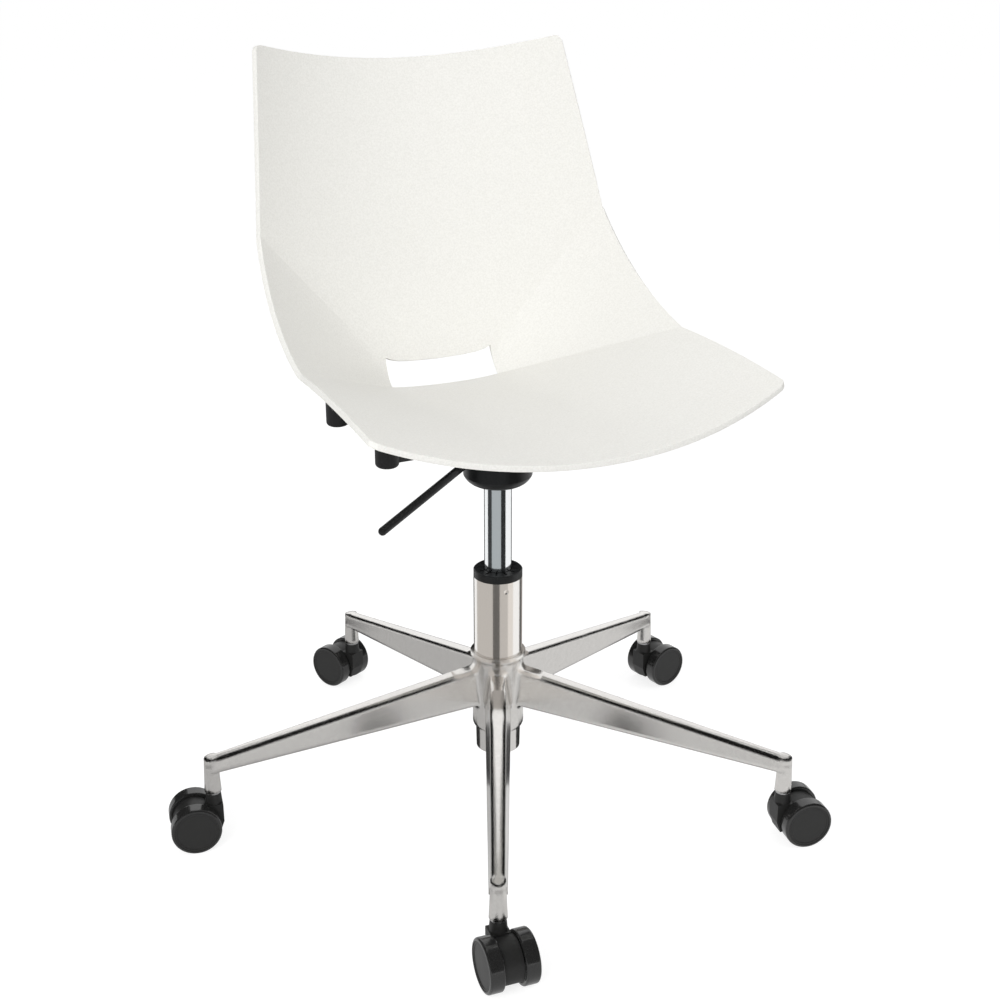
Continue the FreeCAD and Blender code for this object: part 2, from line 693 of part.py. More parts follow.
def wheel_bore_end():
    """Blind end of the wheel's bore from the caster's middle."""
    return wheel_disc() - S.wheel_wall / 2


def caster_axle():
    half = wheel_bore_end() - S.face_gap
    radius = S.axle_d / 2
    zero = S.trail * 0
    return turned("caster_axle", [(-half, zero), (half, zero), (half, radius), (-half, radius)], "H_Axis")


def caster_wheel():
    """Disc and rim of one wheel, closed on its outer face, about X."""
    zero = S.trail * 0
    face = wheel_face() - S.wheel_step
    inner = face - S.wheel_w + S.wheel_step * 2
    disc = wheel_disc()
    rim_r = S.wheel_d / 2 - S.tread_h
    bore_r = S.axle_d / 2 + S.running_gap
    bore_end = wheel_bore_end()
    hub_r = S.axle_boss_d / 2
    return turned("caster_wheel", [
        (inner, bore_r), (inner, hub_r), (disc - S.wheel_wall, hub_r),
        (disc - S.wheel_wall, rim_r - S.wheel_rim_w), (inner, rim_r - S.wheel_rim_w), (inner, rim_r),
        (face, rim_r), (face, rim_r - S.wheel_rim_w), (disc, rim_r - S.wheel_rim_w - S.wheel_step),
        (disc, zero), (bore_end, zero), (bore_end, bore_r)], "H_Axis")


def caster_tread():
    """Glossy band round one wheel, with rounded shoulders."""
    face = wheel_face()
    inner = face - S.wheel_w
    outer_r = S.wheel_d / 2
    inner_r = outer_r - S.tread_h + S.press_gap
    quarter = 1 - math.sqrt(0.5)
    return turned("caster_tread", [
        (inner, inner_r), (face, inner_r),
        (face, outer_r - S.tread_shoulder, S.tread_shoulder * -quarter),
        (face - S.tread_shoulder, outer_r), (inner + S.tread_inner_round, outer_r,
                                             S.tread_inner_round * -quarter),
        (inner, outer_r - S.tread_inner_round)], "H_Axis")


def casters():
    """Five casters under the stems, each trailing its own way."""
    parts = caster_parts()
    doc.recompute()
    reach = float(S.stem_circle_d) / 2
    step = 360.0 / ARM_COUNT
    nodes = []
    seats = []
    for i, corner in enumerate(CASTERS):
        angle = math.radians(float(S.base_turn) + step * i)
        place = Vector(reach * math.sin(angle), -reach * math.cos(angle), 0)
        seats.append(Placement(place, Rotation(Vector(0, 0, 1), float(S.base_turn) + step * i)))
        trail_turn = float(getattr(S, f"{corner}_trail")) + 180
        swivel = Placement(place, Rotation(Vector(0, 0, 1), trail_turn))
        axle = swivel.multiply(Placement(Vector(0, float(S.trail), float(S.wheel_d) / 2), Rotation()))
        nodes.append(copy_of(parts["housing"], f"caster_{corner}_housing", swivel))
        nodes.append(copy_of(parts["axle"], f"caster_{corner}_axle", axle))
        for side, turn_deg in (("a", 0), ("b", 180)):
            spot = axle.multiply(about_z(turn_deg))
            nodes.append(copy_of(parts["wheel"], f"caster_{corner}_wheel_{side}", spot))
            nodes.append(copy_of(parts["tread"], f"caster_{corner}_tread_{side}", spot))
    nodes.append(group_of(parts["peg"], "caster_stems", seats))
    nodes.append(group_of(parts["grip"], "stem_grip_rings", seats))
    return nodes


def column_tube():
    """Outer tube of the lift, tapered and rolled in at its foot, with crimp dimples near its mouth."""
    wall = S.tube_wall
    lip_z = S.tube_bottom_z + S.tube_lip_h
    tube = turned("column_tube_plain", [
        (S.tube_lip_d / 2, S.tube_bottom_z), (S.tube_foot_d / 2, S.tube_bottom_z),
        (S.tube_d / 2, S.taper_top_z), (S.tube_d / 2, S.tube_top_z), (S.tube_d / 2 - wall, S.tube_top_z),
        (S.tube_d / 2 - wall, S.taper_top_z), (tube_radius_at(lip_z) - wall, lip_z),
        (S.tube_lip_d / 2, lip_z)])
    punch_r = (S.dimple_d * S.dimple_d / 4 + S.dimple_depth * S.dimple_depth) / (S.dimple_depth * 2)
    punches = []
    for i in range(DIMPLES):
        punch = doc.addObject("Part::Sphere", f"dimple_punch_{i + 1}")
        bind(punch, "Radius", punch_r)
        turn_deg = 360.0 / DIMPLES * i
        reach = float(S.tube_d / 2 + punch_r - S.dimple_depth)
        angle = math.radians(turn_deg + float(S.base_turn) + 20)
        height = float(S.tube_top_z - S.dimple_drop)
        punch.Placement = about_z(0, reach * math.sin(angle), -reach * math.cos(angle), height)
        punches.append(punch)
    punch_group = doc.addObject("Part::Compound", "dimple_punches")
    punch_group.Links = punches
    return boolean("Part::Cut", "column_tube", tube, [punch_group])


def guide_bush():
    """Black bush in the mouth of the tube; its collar has radial slots."""
    body = new_body("guide_bush")
    bore = S.cylinder_d / 2 + S.running_gap
    inside = S.tube_d / 2 - S.tube_wall - S.press_gap
    rim = S.tube_d / 2 - S.press_gap
    top = S.tube_top_z + S.bush_collar_h
    turn(body, "bush_turn", [(bore, S.tube_top_z - S.bush_length), (inside, S.tube_top_z - S.bush_length),
                             (inside, S.tube_top_z), (rim, S.tube_top_z), (rim, top - 1), (rim - 1, top),
                             (bore + 1, top), (bore, top - 1)])
    slot = new_sketch(body, "bush_slot_outline", "XZ_Plane")
    half = S.bush_slot_w / 2
    draw_outline(slot, [(-half, top - S.bush_slot_depth), (half, top - S.bush_slot_depth),
                        (half, top + S.bush_slot_depth), (-half, top + S.bush_slot_depth)])
    cut = pocket(body, "bush_slot", slot, (S.tube_d - S.tube_wall * 2) / 2 - S.bush_slot_w)
    pattern = polar(body, "bush_slots", cut, BUSH_SLOTS)
    body.Tip = pattern
    return body


def column():
    """Everything of the lift that stays in the column tube."""
    zero = S.tube_d * 0
    plate_z = S.tube_bottom_z + S.tube_lip_h
    race_z = plate_z + S.plate_h
    ball_z = race_z + S.race_h + S.press_gap
    upper_z = ball_z + S.ball_d + S.press_gap
    shoulder_z = upper_z + S.race_h
    plate_d = tube_radius_at(plate_z) * 2 - S.tube_wall * 2 - S.press_gap * 2
    plate = ring("tube_end_plate", S.plate_hole_d, plate_d, plate_z, S.plate_h)
    lower = ring("lower_race", S.plate_hole_d + S.face_gap * 2, S.race_d, race_z, S.race_h)
    upper = ring("upper_race", S.spigot_d + S.press_gap * 2, S.race_d, upper_z, S.race_h)
    buffer_ring = ring("rod_buffer", S.rod_d + S.press_gap * 2, S.buffer_d, shoulder_z, S.buffer_h)
    washer_z = plate_z - S.face_gap - S.washer_h
    clip_z = washer_z - S.press_gap - S.clip_h
    washer = ring("rod_washer", S.spigot_d + S.press_gap * 2, S.washer_d, washer_z, S.washer_h)
    clip = ring("rod_clip", S.spigot_d - S.clip_depth * 2 + S.press_gap * 2, S.clip_d, clip_z, S.clip_h)
    spigot = S.spigot_d / 2
    groove = spigot - S.clip_depth
    rod_r = S.rod_d / 2
    rod = turned("piston_rod", [
        (zero, S.tube_bottom_z - S.rod_end), (spigot, S.tube_bottom_z - S.rod_end),
        (spigot, clip_z - S.press_gap), (groove, clip_z - S.press_gap),
        (groove, clip_z + S.clip_h + S.press_gap), (spigot, clip_z + S.clip_h + S.press_gap),
        (spigot, shoulder_z), (rod_r, shoulder_z), (rod_r, S.piston_z), (spigot, S.piston_z),
        (spigot, S.piston_z + S.piston_h), (zero, S.piston_z + S.piston_h)])
    bore = S.cylinder_d / 2 - S.cylinder_wall
    head_r = bore - S.piston_gap
    seat_r = head_r - S.piston_groove
    seal_z = S.piston_z + (S.piston_h - S.piston_seal_h) / 2
    head = turned("piston_head", [
        (spigot + S.press_gap, S.piston_z), (head_r, S.piston_z), (head_r, seal_z), (seat_r, seal_z),
        (seat_r, seal_z + S.piston_seal_h), (head_r, seal_z + S.piston_seal_h),
        (head_r, S.piston_z + S.piston_h), (spigot + S.press_gap, S.piston_z + S.piston_h)])
    seal = ring("piston_seal", seat_r * 2 + S.press_gap * 2, bore * 2 - S.running_gap * 2,
                seal_z + S.press_gap, S.piston_seal_h - S.press_gap * 2)
    return [plate, lower, upper, buffer_ring, washer, clip, rod, head, seal, *bearing(ball_z)]


def bearing(ball_z):
    """Ball cage and balls between the two races."""
    middle = ball_z + S.ball_d / 2
    cage = ring("ball_cage", S.cage_hole_d, S.cage_d, middle - S.cage_h / 2, S.cage_h)
    cage.Label = "ball_cage_blank"
    reach = float(S.ball_circle_d) / 2
    spots = []
    for i in range(BALL_COUNT):
        angle = 2 * math.pi * i / BALL_COUNT
        spots.append(Vector(reach * math.cos(angle), reach * math.sin(angle), float(middle)))
    ball = doc.addObject("Part::Sphere", "bearing_ball")
    bind(ball, "Radius", S.ball_d / 2)
    room = doc.addObject("Part::Sphere", "ball_room")
    bind(room, "Radius", S.ball_d / 2 + S.ball_gap)
    doc.recompute()
    rooms = group_of(room, "ball_rooms", [Placement(spot, Rotation()) for spot in spots])
    pierced = boolean("Part::Cut", "ball_cage_pierced", cage, [rooms])
    pierced.Label = "ball_cage"
    balls = group_of(ball, "bearing_balls", [Placement(spot, Rotation()) for spot in spots])
    return [pierced, balls]


def gas_cylinder():
    """Chrome cylinder with its guide, seal and valve."""
    zero = S.tube_d * 0
    outer = S.cylinder_d / 2
    bore = outer - S.cylinder_wall
    bottom = S.cylinder_bottom_z
    lip = bottom + S.cylinder_lip_h
    top = S.spider_bottom_z + S.cone_length
    nose = top - S.nose_h
    valve_r = S.valve_d / 2
    cylinder = turned("gas_cylinder", [
        (S.cylinder_lip_d / 2, bottom), (outer, bottom), (outer, S.spider_bottom_z),
        (S.cone_top_d / 2, top), (valve_r + S.running_gap, top), (valve_r + S.running_gap, nose),
        (bore, nose), (bore, lip), (S.cylinder_lip_d / 2, lip)])
    rod_hole = S.rod_d + S.running_gap * 2
    fit_d = bore * 2 - S.press_gap * 2
    guide = ring("rod_guide", rod_hole, fit_d, lip, S.guide_h)
    seal = ring("rod_seal", rod_hole, fit_d, lip + S.guide_h, S.seal_h)
    stem_r = S.valve_stem_d / 2
    plug = ring("valve_plug", S.valve_stem_d + S.running_gap * 2, fit_d, nose - S.plug_h, S.plug_h)
    tip = top + S.valve_rise
    flange_z = nose - S.plug_h - S.plug_h / 2
    pin = turned("valve_pin", [
        (zero, flange_z), (S.valve_flange_d / 2, flange_z), (S.valve_flange_d / 2, flange_z + stem_r),
        (stem_r, flange_z + stem_r), (stem_r, tip - S.valve_head_h - stem_r),
        (valve_r, tip - S.valve_head_h - stem_r), (valve_r, tip - stem_r), (S.valve_tip_d / 2, tip),
        (zero, tip)])
    return [cylinder, guide, seal, plug, pin]


def lever_frame():
    """Local frame of the lever: X along the lever, origin on its pivot."""
    heading = 180 + float(S.lever_turn)
    angle = math.radians(heading)
    reach = float(S.pivot_reach)
    place = Vector(reach * math.cos(angle), reach * math.sin(angle), float(S.pivot_z))
    return Placement(place, Rotation(Vector(0, 0, 1), heading))


def lever():
    """Rod with a flattened eye on the pivot pin, and the sleeve that the hand holds."""
    zero = S.pin_d * 0
    frame = lever_frame()
    droop = frame.multiply(Placement(Vector(), Rotation(Vector(0, 1, 0), float(S.lever_droop))))
    rod_r = S.lever_rod_d / 2
    rod_end = S.lever_outer - S.sleeve_cap
    body = new_body("lever_rod")
    turn(body, "rod_turn", [(-S.lever_inner, zero), (rod_end, zero), (rod_end, rod_r),
                            (-S.lever_inner, rod_r)], "H_Axis")
    eye = new_sketch(body, "eye_outline", "XZ_Plane")
    draw_circle(eye, zero, zero, S.eye_d / 2)
    pad(body, "eye", eye, S.eye_w, midplane=True)
    hole = new_sketch(body, "eye_hole_outline", "XZ_Plane")
    draw_circle(hole, zero, zero, S.pin_d / 2 + S.running_gap)
    pocket(body, "eye_hole", hole, midplane=True)
    body.Placement = droop
    sleeve_r = S.sleeve_d / 2
    quarter = 1 - math.sqrt(0.5)
    sleeve = turned("lever_sleeve", [
        (S.sleeve_start, rod_r + S.press_gap), (rod_end + S.press_gap, rod_r + S.press_gap),
        (rod_end + S.press_gap, zero), (S.lever_outer, zero, sleeve_r * -quarter),
        (S.lever_outer - sleeve_r, sleeve_r), (S.sleeve_start, sleeve_r)], "H_Axis")
    sleeve.Placement = droop
    half = S.pin_length / 2
    pin = new_body("lever_pivot_pin")
    pin_outline = new_sketch(pin, "pin_outline", "XZ_Plane")
    draw_circle(pin_outline, zero, zero, S.pin_d / 2)
    pad(pin, "pin", pin_outline, half * 2, midplane=True)
    pin.Placement = frame
    return [body, sleeve, pin]


def spider_arm():
    """One spider arm along +X with its upright foot, sunk for a screw from below."""
    body = new_body("spider_arm")
    reach = foot_reach()
    root = (S.chamber_d + S.spider_hub_d) / 4
    sections = []
    for i, (at, width, low, height) in enumerate((
            (root, S.bar_root_w, S.spider_top_z - S.bar_root_h, S.bar_root_h),
            (reach, S.bar_tip_w, S.foot_bottom_z + S.foot_round, S.bar_tip_h))):
        sketch = new_sketch(body, f"bar_section_{i}", "YZ_Plane", at)
        draw_outline(sketch, rounded_box(width / 2, low, low + height, S.bar_round))
        sections.append(sketch)
    loft(body, "bar", "PartDesign::AdditiveLoft", sections)
    foot = new_sketch(body, "foot_outline", "XY_Plane", S.foot_bottom_z)
    draw_circle(foot, reach, S.foot_d * 0, S.foot_d / 2)
    pad(body, "foot", foot, S.foot_top_z - S.foot_bottom_z)

    def under_foot(edge):
        box = edge.BoundBox
        return abs(box.ZMax - float(S.foot_bottom_z)) < 1e-3 and box.YLength > float(S.bar_tip_w)
    round_edges(body, "foot_round_edge", S.foot_round, under_foot)
    sink = new_sketch(body, "sink_outline", "XY_Plane", S.foot_bottom_z)
    draw_circle(sink, reach, S.foot_d * 0, S.sink_d / 2)
    pocket(body, "sink", sink, S.sink_depth, reverse=True)
    hole = new_sketch(body, "screw_hole_outline", "XY_Plane", S.foot_bottom_z)
    draw_circle(hole, reach, S.foot_d * 0, S.screw_hole_d / 2)
    pocket(body, "screw_hole", hole, reverse=True)
    return body


def foot_reach():
    """Distance of the feet from the axis."""
    value = math.hypot(float(S.foot_x), float(S.foot_y))
    return Size(value, "sqrt(Dimensions.foot_x * Dimensions.foot_x + Dimensions.foot_y * Dimensions.foot_y)")


def foot_turns():
    angle = math.degrees(math.atan2(float(S.foot_y), float(S.foot_x)))
    return (angle, 180 - angle, 180 + angle, -angle)


def seat_spider():
    """Cup-shaped hub on the gas cylinder's cone, with four arms, the lever's chamber and its window."""
    zero = S.foot_d * 0
    hub_r = S.spider_hub_d / 2
    top = S.spider_bottom_z + S.cone_length
    floor = top + S.chamber_floor
    cone = S.press_gap
    bottom_r = S.cylinder_d / 2 + cone
    top_r = S.cone_top_d / 2 + cone
    hub = turned("spider_hub", [
        (bottom_r, S.spider_bottom_z), (S.spider_foot_d / 2, S.spider_bottom_z, -S.spider_bowl),
        (hub_r, S.spider_bottom_z + S.spider_bevel_h), (hub_r, S.spider_top_z),
        (S.chamber_d / 2, S.spider_top_z), (S.chamber_d / 2, floor), (top_r, floor), (top_r, top)])
    arm = spider_arm()
    arms = [link(arm, f"spider_arm_{i + 1}", about_z(angle)) for i, angle in enumerate(foot_turns())]
    casting = boolean("Part::MultiFuse", "spider_casting", hub, arms)
    frame = lever_frame()
    pin_hole = doc.addObject("Part::Cylinder", "pivot_hole")
    bind(pin_hole, "Radius", S.pin_d / 2 + S.press_gap)
    bind(pin_hole, "Height", S.pin_length)
    pin_hole.Placement = frame.multiply(
        Placement(Vector(0, float(S.pin_length) / 2, 0), Rotation(Vector(1, 0, 0), 90)))
    window = doc.addObject("Part::Box", "lever_window")
    bind(window, "Length", S.spider_hub_d)
    bind(window, "Width", S.window_w)
    bind(window, "Height", S.window_bottom + S.window_top)
    window.Placement = frame.multiply(
        Placement(Vector(0, -float(S.window_w) / 2, -float(S.window_bottom)), Rotation()))
    cutters = doc.addObject("Part::Compound", "spider_cutters")
    cutters.Links = [pin_hole, window]
    return boolean("Part::Cut", "seat_spider", casting, [cutters])


def fold_growth(x):
    """How far the folds have run at x: nearly nothing in the middle, then one for one."""
    run = abs(x) - float(S.fold_x)
    blend = 2 * float(S.fold_blend)
    return (run + math.sqrt(run * run + blend * blend)) / 2


def back_depth(x, z):
    """Depth of the back's sitting face."""
    height = z - float(S.back_ref_z)
    hollow = float(S.back_hollow) / 1e3 + float(S.back_twist) / 1e6 * height
    return float(S.back_ref_y) + float(S.back_slope) * height - hollow * x * x


def shell_profile(x):
    """Sitting face of the shell in the plane at x, from the top to the front: (y, z) of its corners,
    each with the arch of the stretch that follows it as a share of half the chord."""
    growth = fold_growth(x)
    top_z = float(S.back_corner_z) + OVERCUT
    upper_z = float(S.upper_fold_z) + float(S.upper_fold_rise) * growth
    lower_y = float(S.lower_fold_y) - float(S.lower_fold_run) * growth
    lower_z = float(S.lower_fold_z) + float(S.lower_fold_rise) * growth
    share = x / float(S.shell_half_w)
    front_y = float(S.seat_front_y)
    front_z = float(S.seat_front_z) + float(S.seat_dish) * share * share
    seat_bulge = 2 * float(S.seat_arch) / (lower_y - front_y)
    return [((back_depth(x, top_z), top_z), 0.0),
            ((back_depth(x, upper_z), upper_z), float(S.facet_bulge)),
            ((lower_y, lower_z), -seat_bulge),
            ((front_y, front_z), 0.0)]


def offset_profile(corners, depth):
    """The profile moved square to itself, to the outer side of the shell."""
    normals = []
    middles = []
    for (a, bulge), (b, _) in zip(corners, corners[1:]):
        dy = b[0] - a[0]
        dz = b[1] - a[1]
        half = math.hypot(dy, dz) / 2
        square = math.atan2(dy, -dz)
        swing = 2 * math.atan(bulge)
        normals.append((square - swing, square + swing))
        across = bulge * half + depth
        middles.append(((a[0] + b[0]) / 2 + across * math.cos(square),
                        (a[1] + b[1]) / 2 + across * math.sin(square)))
    angles = [(normals[0][0],) * 2]
    angles += [(before[1], after[0]) for before, after in zip(normals, normals[1:])]
    angles.append((normals[-1][1],) * 2)
    moved = []
    for (point, _), (first, second) in zip(corners, angles):
        mean = (first + second) / 2
        reach = depth / math.cos((second - first) / 2)
        moved.append((point[0] + reach * math.cos(mean), point[1] + reach * math.sin(mean)))
    return moved, middles


def profile_edges(x, corners, depth):
    """Edges of the profile at one depth, as a line and two arcs."""
    points, middles = offset_profile(corners, depth)
    ends = [Vector(x, *point) for point in points]
    edges = [Part.makeLine(ends[0], ends[1])]
    for i in (1, 2):
        edges.append(Part.Arc(ends[i], Vector(x, *middles[i]), ends[i + 1]).toShape())
    return ends, edges


def shell_depth(x, share):
    """Depth to move the profile in its plane, so that the wall keeps its thickness on the slope."""
    slope = 2 * float(S.seat_dish) * x / float(S.shell_half_w) ** 2 * 2
    return float(S.shell_wall) * share * math.hypot(1, slope)


def lower_profile(x):
    """The profile carried on past the front edge, to leave something to trim."""
    corners = shell_profile(x)
    (y, z), _ = corners[-1]
    corners[-1] = ((y - OVERCUT, z - OVERCUT * 0.1), 0.0)
    return corners


def shell_stations():
    reach = float(S.shell_half_w) + OVERCUT / 2
    right = [reach * share for share in SHELL_SECTIONS]
    return [-x for x in reversed(right[1:])] + right


def shell_wall():
    """Wall of the shell, lofted across its width through folded sections."""
    wires = []
    for x in shell_stations():
        corners = lower_profile(x)
        inner_ends, inner = profile_edges(x, corners, 0.0)
        outer_ends, outer = profile_edges(x, corners, shell_depth(x, 1.0))
        lips = [Part.makeLine(inner_ends[-1], outer_ends[-1]), Part.makeLine(outer_ends[0], inner_ends[0])]
        wires.append(Part.Wire(Part.__sortEdges__([*inner, lips[0], *outer, lips[1]])))
    return Part.makeLoft(wires, True, False)


def boss_room():
    """Space under the middle of the shell's wall, which limits the bosses."""
    wires = []
    for x in shell_stations():
        corners = lower_profile(x)
        ends, edges = profile_edges(x, corners, shell_depth(x, 0.5))
        low = float(S.spider_bottom_z)
        front = Vector(x, ends[3].y, low)
        rear = Vector(x, ends[1].y, low)
        floor = [Part.makeLine(ends[3], front), Part.makeLine(front, rear), Part.makeLine(rear, ends[1])]
        wires.append(Part.Wire(Part.__sortEdges__([*edges[1:], *floor])))
    return Part.makeLoft(wires, True, False)


def outline_solid(name, rotation, place, length, points):
    """Prism of an outline, to trim or pierce the shell."""
    sketch = doc.addObject("Sketcher::SketchObject", name + "_outline")
    sketch.Placement = Placement(place, rotation)
    draw_outline(sketch, points)
    prism = doc.addObject("Part::Extrusion", name)
    prism.Base = sketch
    prism.DirMode = "Normal"
    prism.Solid = True
    bind(prism, "LengthFwd", length)
    return prism


def rim_edges(shell):
    """Long edges of the shell's outer rim, without those of the slot."""
    walls = [face for face in shell.Faces if face.Surface.TypeId == "Part::GeomBSplineSurface"]
    wall_edges = [edge for face in walls for edge in face.Edges]
    chosen = []
    for face in shell.Faces:
        box = face.BoundBox
        in_slot = max(-box.XMin, box.XMax) < float(S.slot_half_w) + 1
        if face.Surface.TypeId != "Part::GeomBSplineSurface" and not in_slot:
            chosen += [edge for edge in face.Edges if any(edge.isSame(item) for item in wall_edges)]
    return chosen


def seat_shell():
    """White shell: lofted wall, trimmed to its front and plan outlines, with the slot and the bosses."""
    zero = S.foot_d * 0
    wall = doc.addObject("Part::Feature", "shell_wall")
    wall.Shape = shell_wall()
    facing = Rotation(Vector(1, 0, 0), 90)
    half = S.shell_half_w
    front_cut = outline_solid("shell_front", facing, Vector(0, 400, 0), S.back_corner_z, [
        (-half, S.spider_bottom_z), (half, S.spider_bottom_z), (half, S.shell_rim_z),
        (S.back_half_w, S.back_corner_z, S.back_dip), (-S.back_half_w, S.back_corner_z),
        (-half, S.shell_rim_z)])
    rear_y = S.back_corner_z - S.spider_bottom_z
    plan_cut = outline_solid("shell_plan", Rotation(), Vector(0, 0, 300), S.back_corner_z, [
        (-half, S.seat_corner_y, (S.seat_corner_y - S.seat_front_y) * -1), (half, S.seat_corner_y),
        (half, rear_y), (-half, rear_y)])

    def at_point(across, up, first, second):
        def test(edge):
            box = edge.BoundBox
            low = (getattr(box, first + "Min") + getattr(box, first + "Max")) / 2
            high = (getattr(box, second + "Min") + getattr(box, second + "Max")) / 2
            thin = max(getattr(box, first + "Length"), getattr(box, second + "Length")) < 1e-3
            return thin and abs(abs(low) - float(across)) < 1e-3 and abs(high - float(up)) < 1e-3
        return test
    top_soft = fillet_edges("shell_front_top", front_cut, S.top_round,
                            at_point(S.back_half_w, S.back_corner_z, "X", "Z"))
    side_soft = fillet_edges("shell_front_side", top_soft, S.side_round, at_point(half, S.shell_rim_z, "X", "Z"))
    plan_soft = fillet_edges("shell_plan_soft", plan_cut, S.corner_round, at_point(half, S.seat_corner_y, "X", "Y"))
    trimmed = boolean("Part::MultiCommon", "shell_trimmed", wall, [side_soft, plan_soft])
    slot_y = float(S.lower_fold_y) - float(S.lower_fold_run) * fold_growth(float(S.slot_half_w)) - 2
    slot = outline_solid("shell_slot", facing, Vector(0, slot_y + 150, 0), zero + 150, [
        (-S.slot_half_w, S.slot_bottom_z), (S.slot_half_w, S.slot_bottom_z),
        (S.slot_top_half_w, S.slot_top_z, S.slot_dip), (-S.slot_top_half_w, S.slot_top_z)])
    opened = boolean("Part::Cut", "shell_opened", trimmed, [slot])
    doc.recompute()
    rim = rim_edges(opened.Shape)
    softened = fillet_edges("shell_softened", opened, S.rim_round,
                            lambda edge: any(edge.isSame(item) for item in rim))
    spots = [Vector(sx * float(S.foot_x), sy * float(S.foot_y), float(S.boss_bottom_z))
             for sx in (-1, 1) for sy in (-1, 1)]
    room = boss_room()
    bosses = doc.addObject("Part::Feature", "shell_bosses")
    bosses.Shape = Part.makeCompound([
        Part.makeCylinder(float(S.boss_d) / 2, float(S.boss_d) * 2, spot).common(room) for spot in spots])
    holes = doc.addObject("Part::Feature", "insert_holes")
    holes.Shape = Part.makeCompound([
        Part.makeCylinder(float(S.insert_d) / 2 + float(S.press_gap), float(S.insert_h) + 1, spot)
        for spot in spots])
    moulded = boolean("Part::MultiFuse", "shell_moulded", softened, [bosses])
    return boolean("Part::Cut", "seat_shell", moulded, [holes])


def seat_fasteners():
    """Screws from below, rubber pads under the bosses and threaded inserts in them."""
    zero = S.foot_d * 0
    head_z = S.foot_bottom_z + S.sink_depth
    screw = turned("seat_screw", [
        (zero, head_z - S.screw_head_h), (S.screw_head_d / 2 - 1, head_z - S.screw_head_h),
        (S.screw_head_d / 2, head_z - S.screw_head_h + 1), (S.screw_head_d / 2, head_z),
        (S.screw_d / 2, head_z), (S.screw_d / 2, head_z + S.screw_length), (zero, head_z + S.screw_length)])
    pad_ring = ring("seat_pad", S.screw_hole_d, S.pad_d, S.foot_top_z, S.pad_h)
    insert = ring("thread_insert", S.screw_d + S.press_gap * 2, S.insert_d, S.boss_bottom_z, S.insert_h)
    doc.recompute()
    spots = [about_z(0, sx * float(S.foot_x), sy * float(S.foot_y)) for sx in (-1, 1) for sy in (-1, 1)]
    return [group_of(screw, "seat_screws", spots), group_of(pad_ring, "seat_pads", spots),
            group_of(insert, "thread_inserts", spots)]


def write_parts(nodes):
    """Check every object of the document, then write one file for each node."""
    doc.recompute()
    for item in doc.Objects:
        if "Invalid" in item.State or "Error" in item.State:
            raise RuntimeError(f"{item.Label} failed: {item.State}")
    for node in nodes:
        if node.Shape.isNull() or not node.Shape.isValid():
            raise RuntimeError(f"{node.Label} has no valid shape")
    os.makedirs("parts", exist_ok=True)
    for node in nodes:
        node.Shape.exportStep(f"parts/{node.Label}.step")
        solids = node.Shape.Solids
        print(node.Label, len(solids), "solids", round(sum(solid.Volume for solid in solids)), "mm3")


def main():
    nodes = [star_base(), column_tube(), guide_bush(), *column(), *gas_cylinder(), *lever()]
    nodes += [seat_spider(), seat_shell(), *seat_fasteners(), *casters()]
    write_parts(nodes)


main()
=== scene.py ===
"""Looks of the swivel chair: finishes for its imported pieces, a pale studio and the camera."""

import logging
import math
from collections.abc import Callable
from dataclasses import dataclass
from enum import Enum

import bmesh
import bpy
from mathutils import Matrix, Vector


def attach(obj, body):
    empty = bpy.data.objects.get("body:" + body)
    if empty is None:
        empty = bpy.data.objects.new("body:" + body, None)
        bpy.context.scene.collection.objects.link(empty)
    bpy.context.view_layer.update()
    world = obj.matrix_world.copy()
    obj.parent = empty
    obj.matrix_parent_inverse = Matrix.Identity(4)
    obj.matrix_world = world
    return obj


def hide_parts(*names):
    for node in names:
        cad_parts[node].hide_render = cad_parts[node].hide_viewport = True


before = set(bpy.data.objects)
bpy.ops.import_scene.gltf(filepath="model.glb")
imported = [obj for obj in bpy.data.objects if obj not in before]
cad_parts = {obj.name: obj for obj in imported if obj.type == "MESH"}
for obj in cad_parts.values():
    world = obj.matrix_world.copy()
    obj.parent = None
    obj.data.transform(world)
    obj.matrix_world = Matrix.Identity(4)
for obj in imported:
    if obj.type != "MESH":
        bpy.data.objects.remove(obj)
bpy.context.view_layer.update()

LOG = logging.getLogger("chair")
SMOOTH_ANGLE = math.radians(32.0)
MM = 0.001
TOUCH = 1e-6
PATCH_RANGE = (0.3, 0.7)
SPECKLE_RANGE = (0.35, 0.65)
BEVEL_SAMPLES = 8
# Places of a Mix node's colour sockets, because its socket names repeat
MIX_SHARE, MIX_FIRST, MIX_SECOND, MIX_RESULT = 0, 6, 7, 2

Colour = tuple[float, float, float]
Place = tuple[float, float, float]
Span = tuple[float, float]
ProfilePoint = tuple[float, float]
Stretch = Callable[[float, float], ProfilePoint]


class Socket(Enum):
    """Kinds of socket that the shared effects use."""

    NUMBER = "NodeSocketFloat"
    COLOUR = "NodeSocketColor"


class Corner(Enum):
    """The five casters by their place under the seat."""

    FRONT = "front"
    LEFT = "left"
    REAR_LEFT = "rear_left"
    REAR_RIGHT = "rear_right"
    RIGHT = "right"


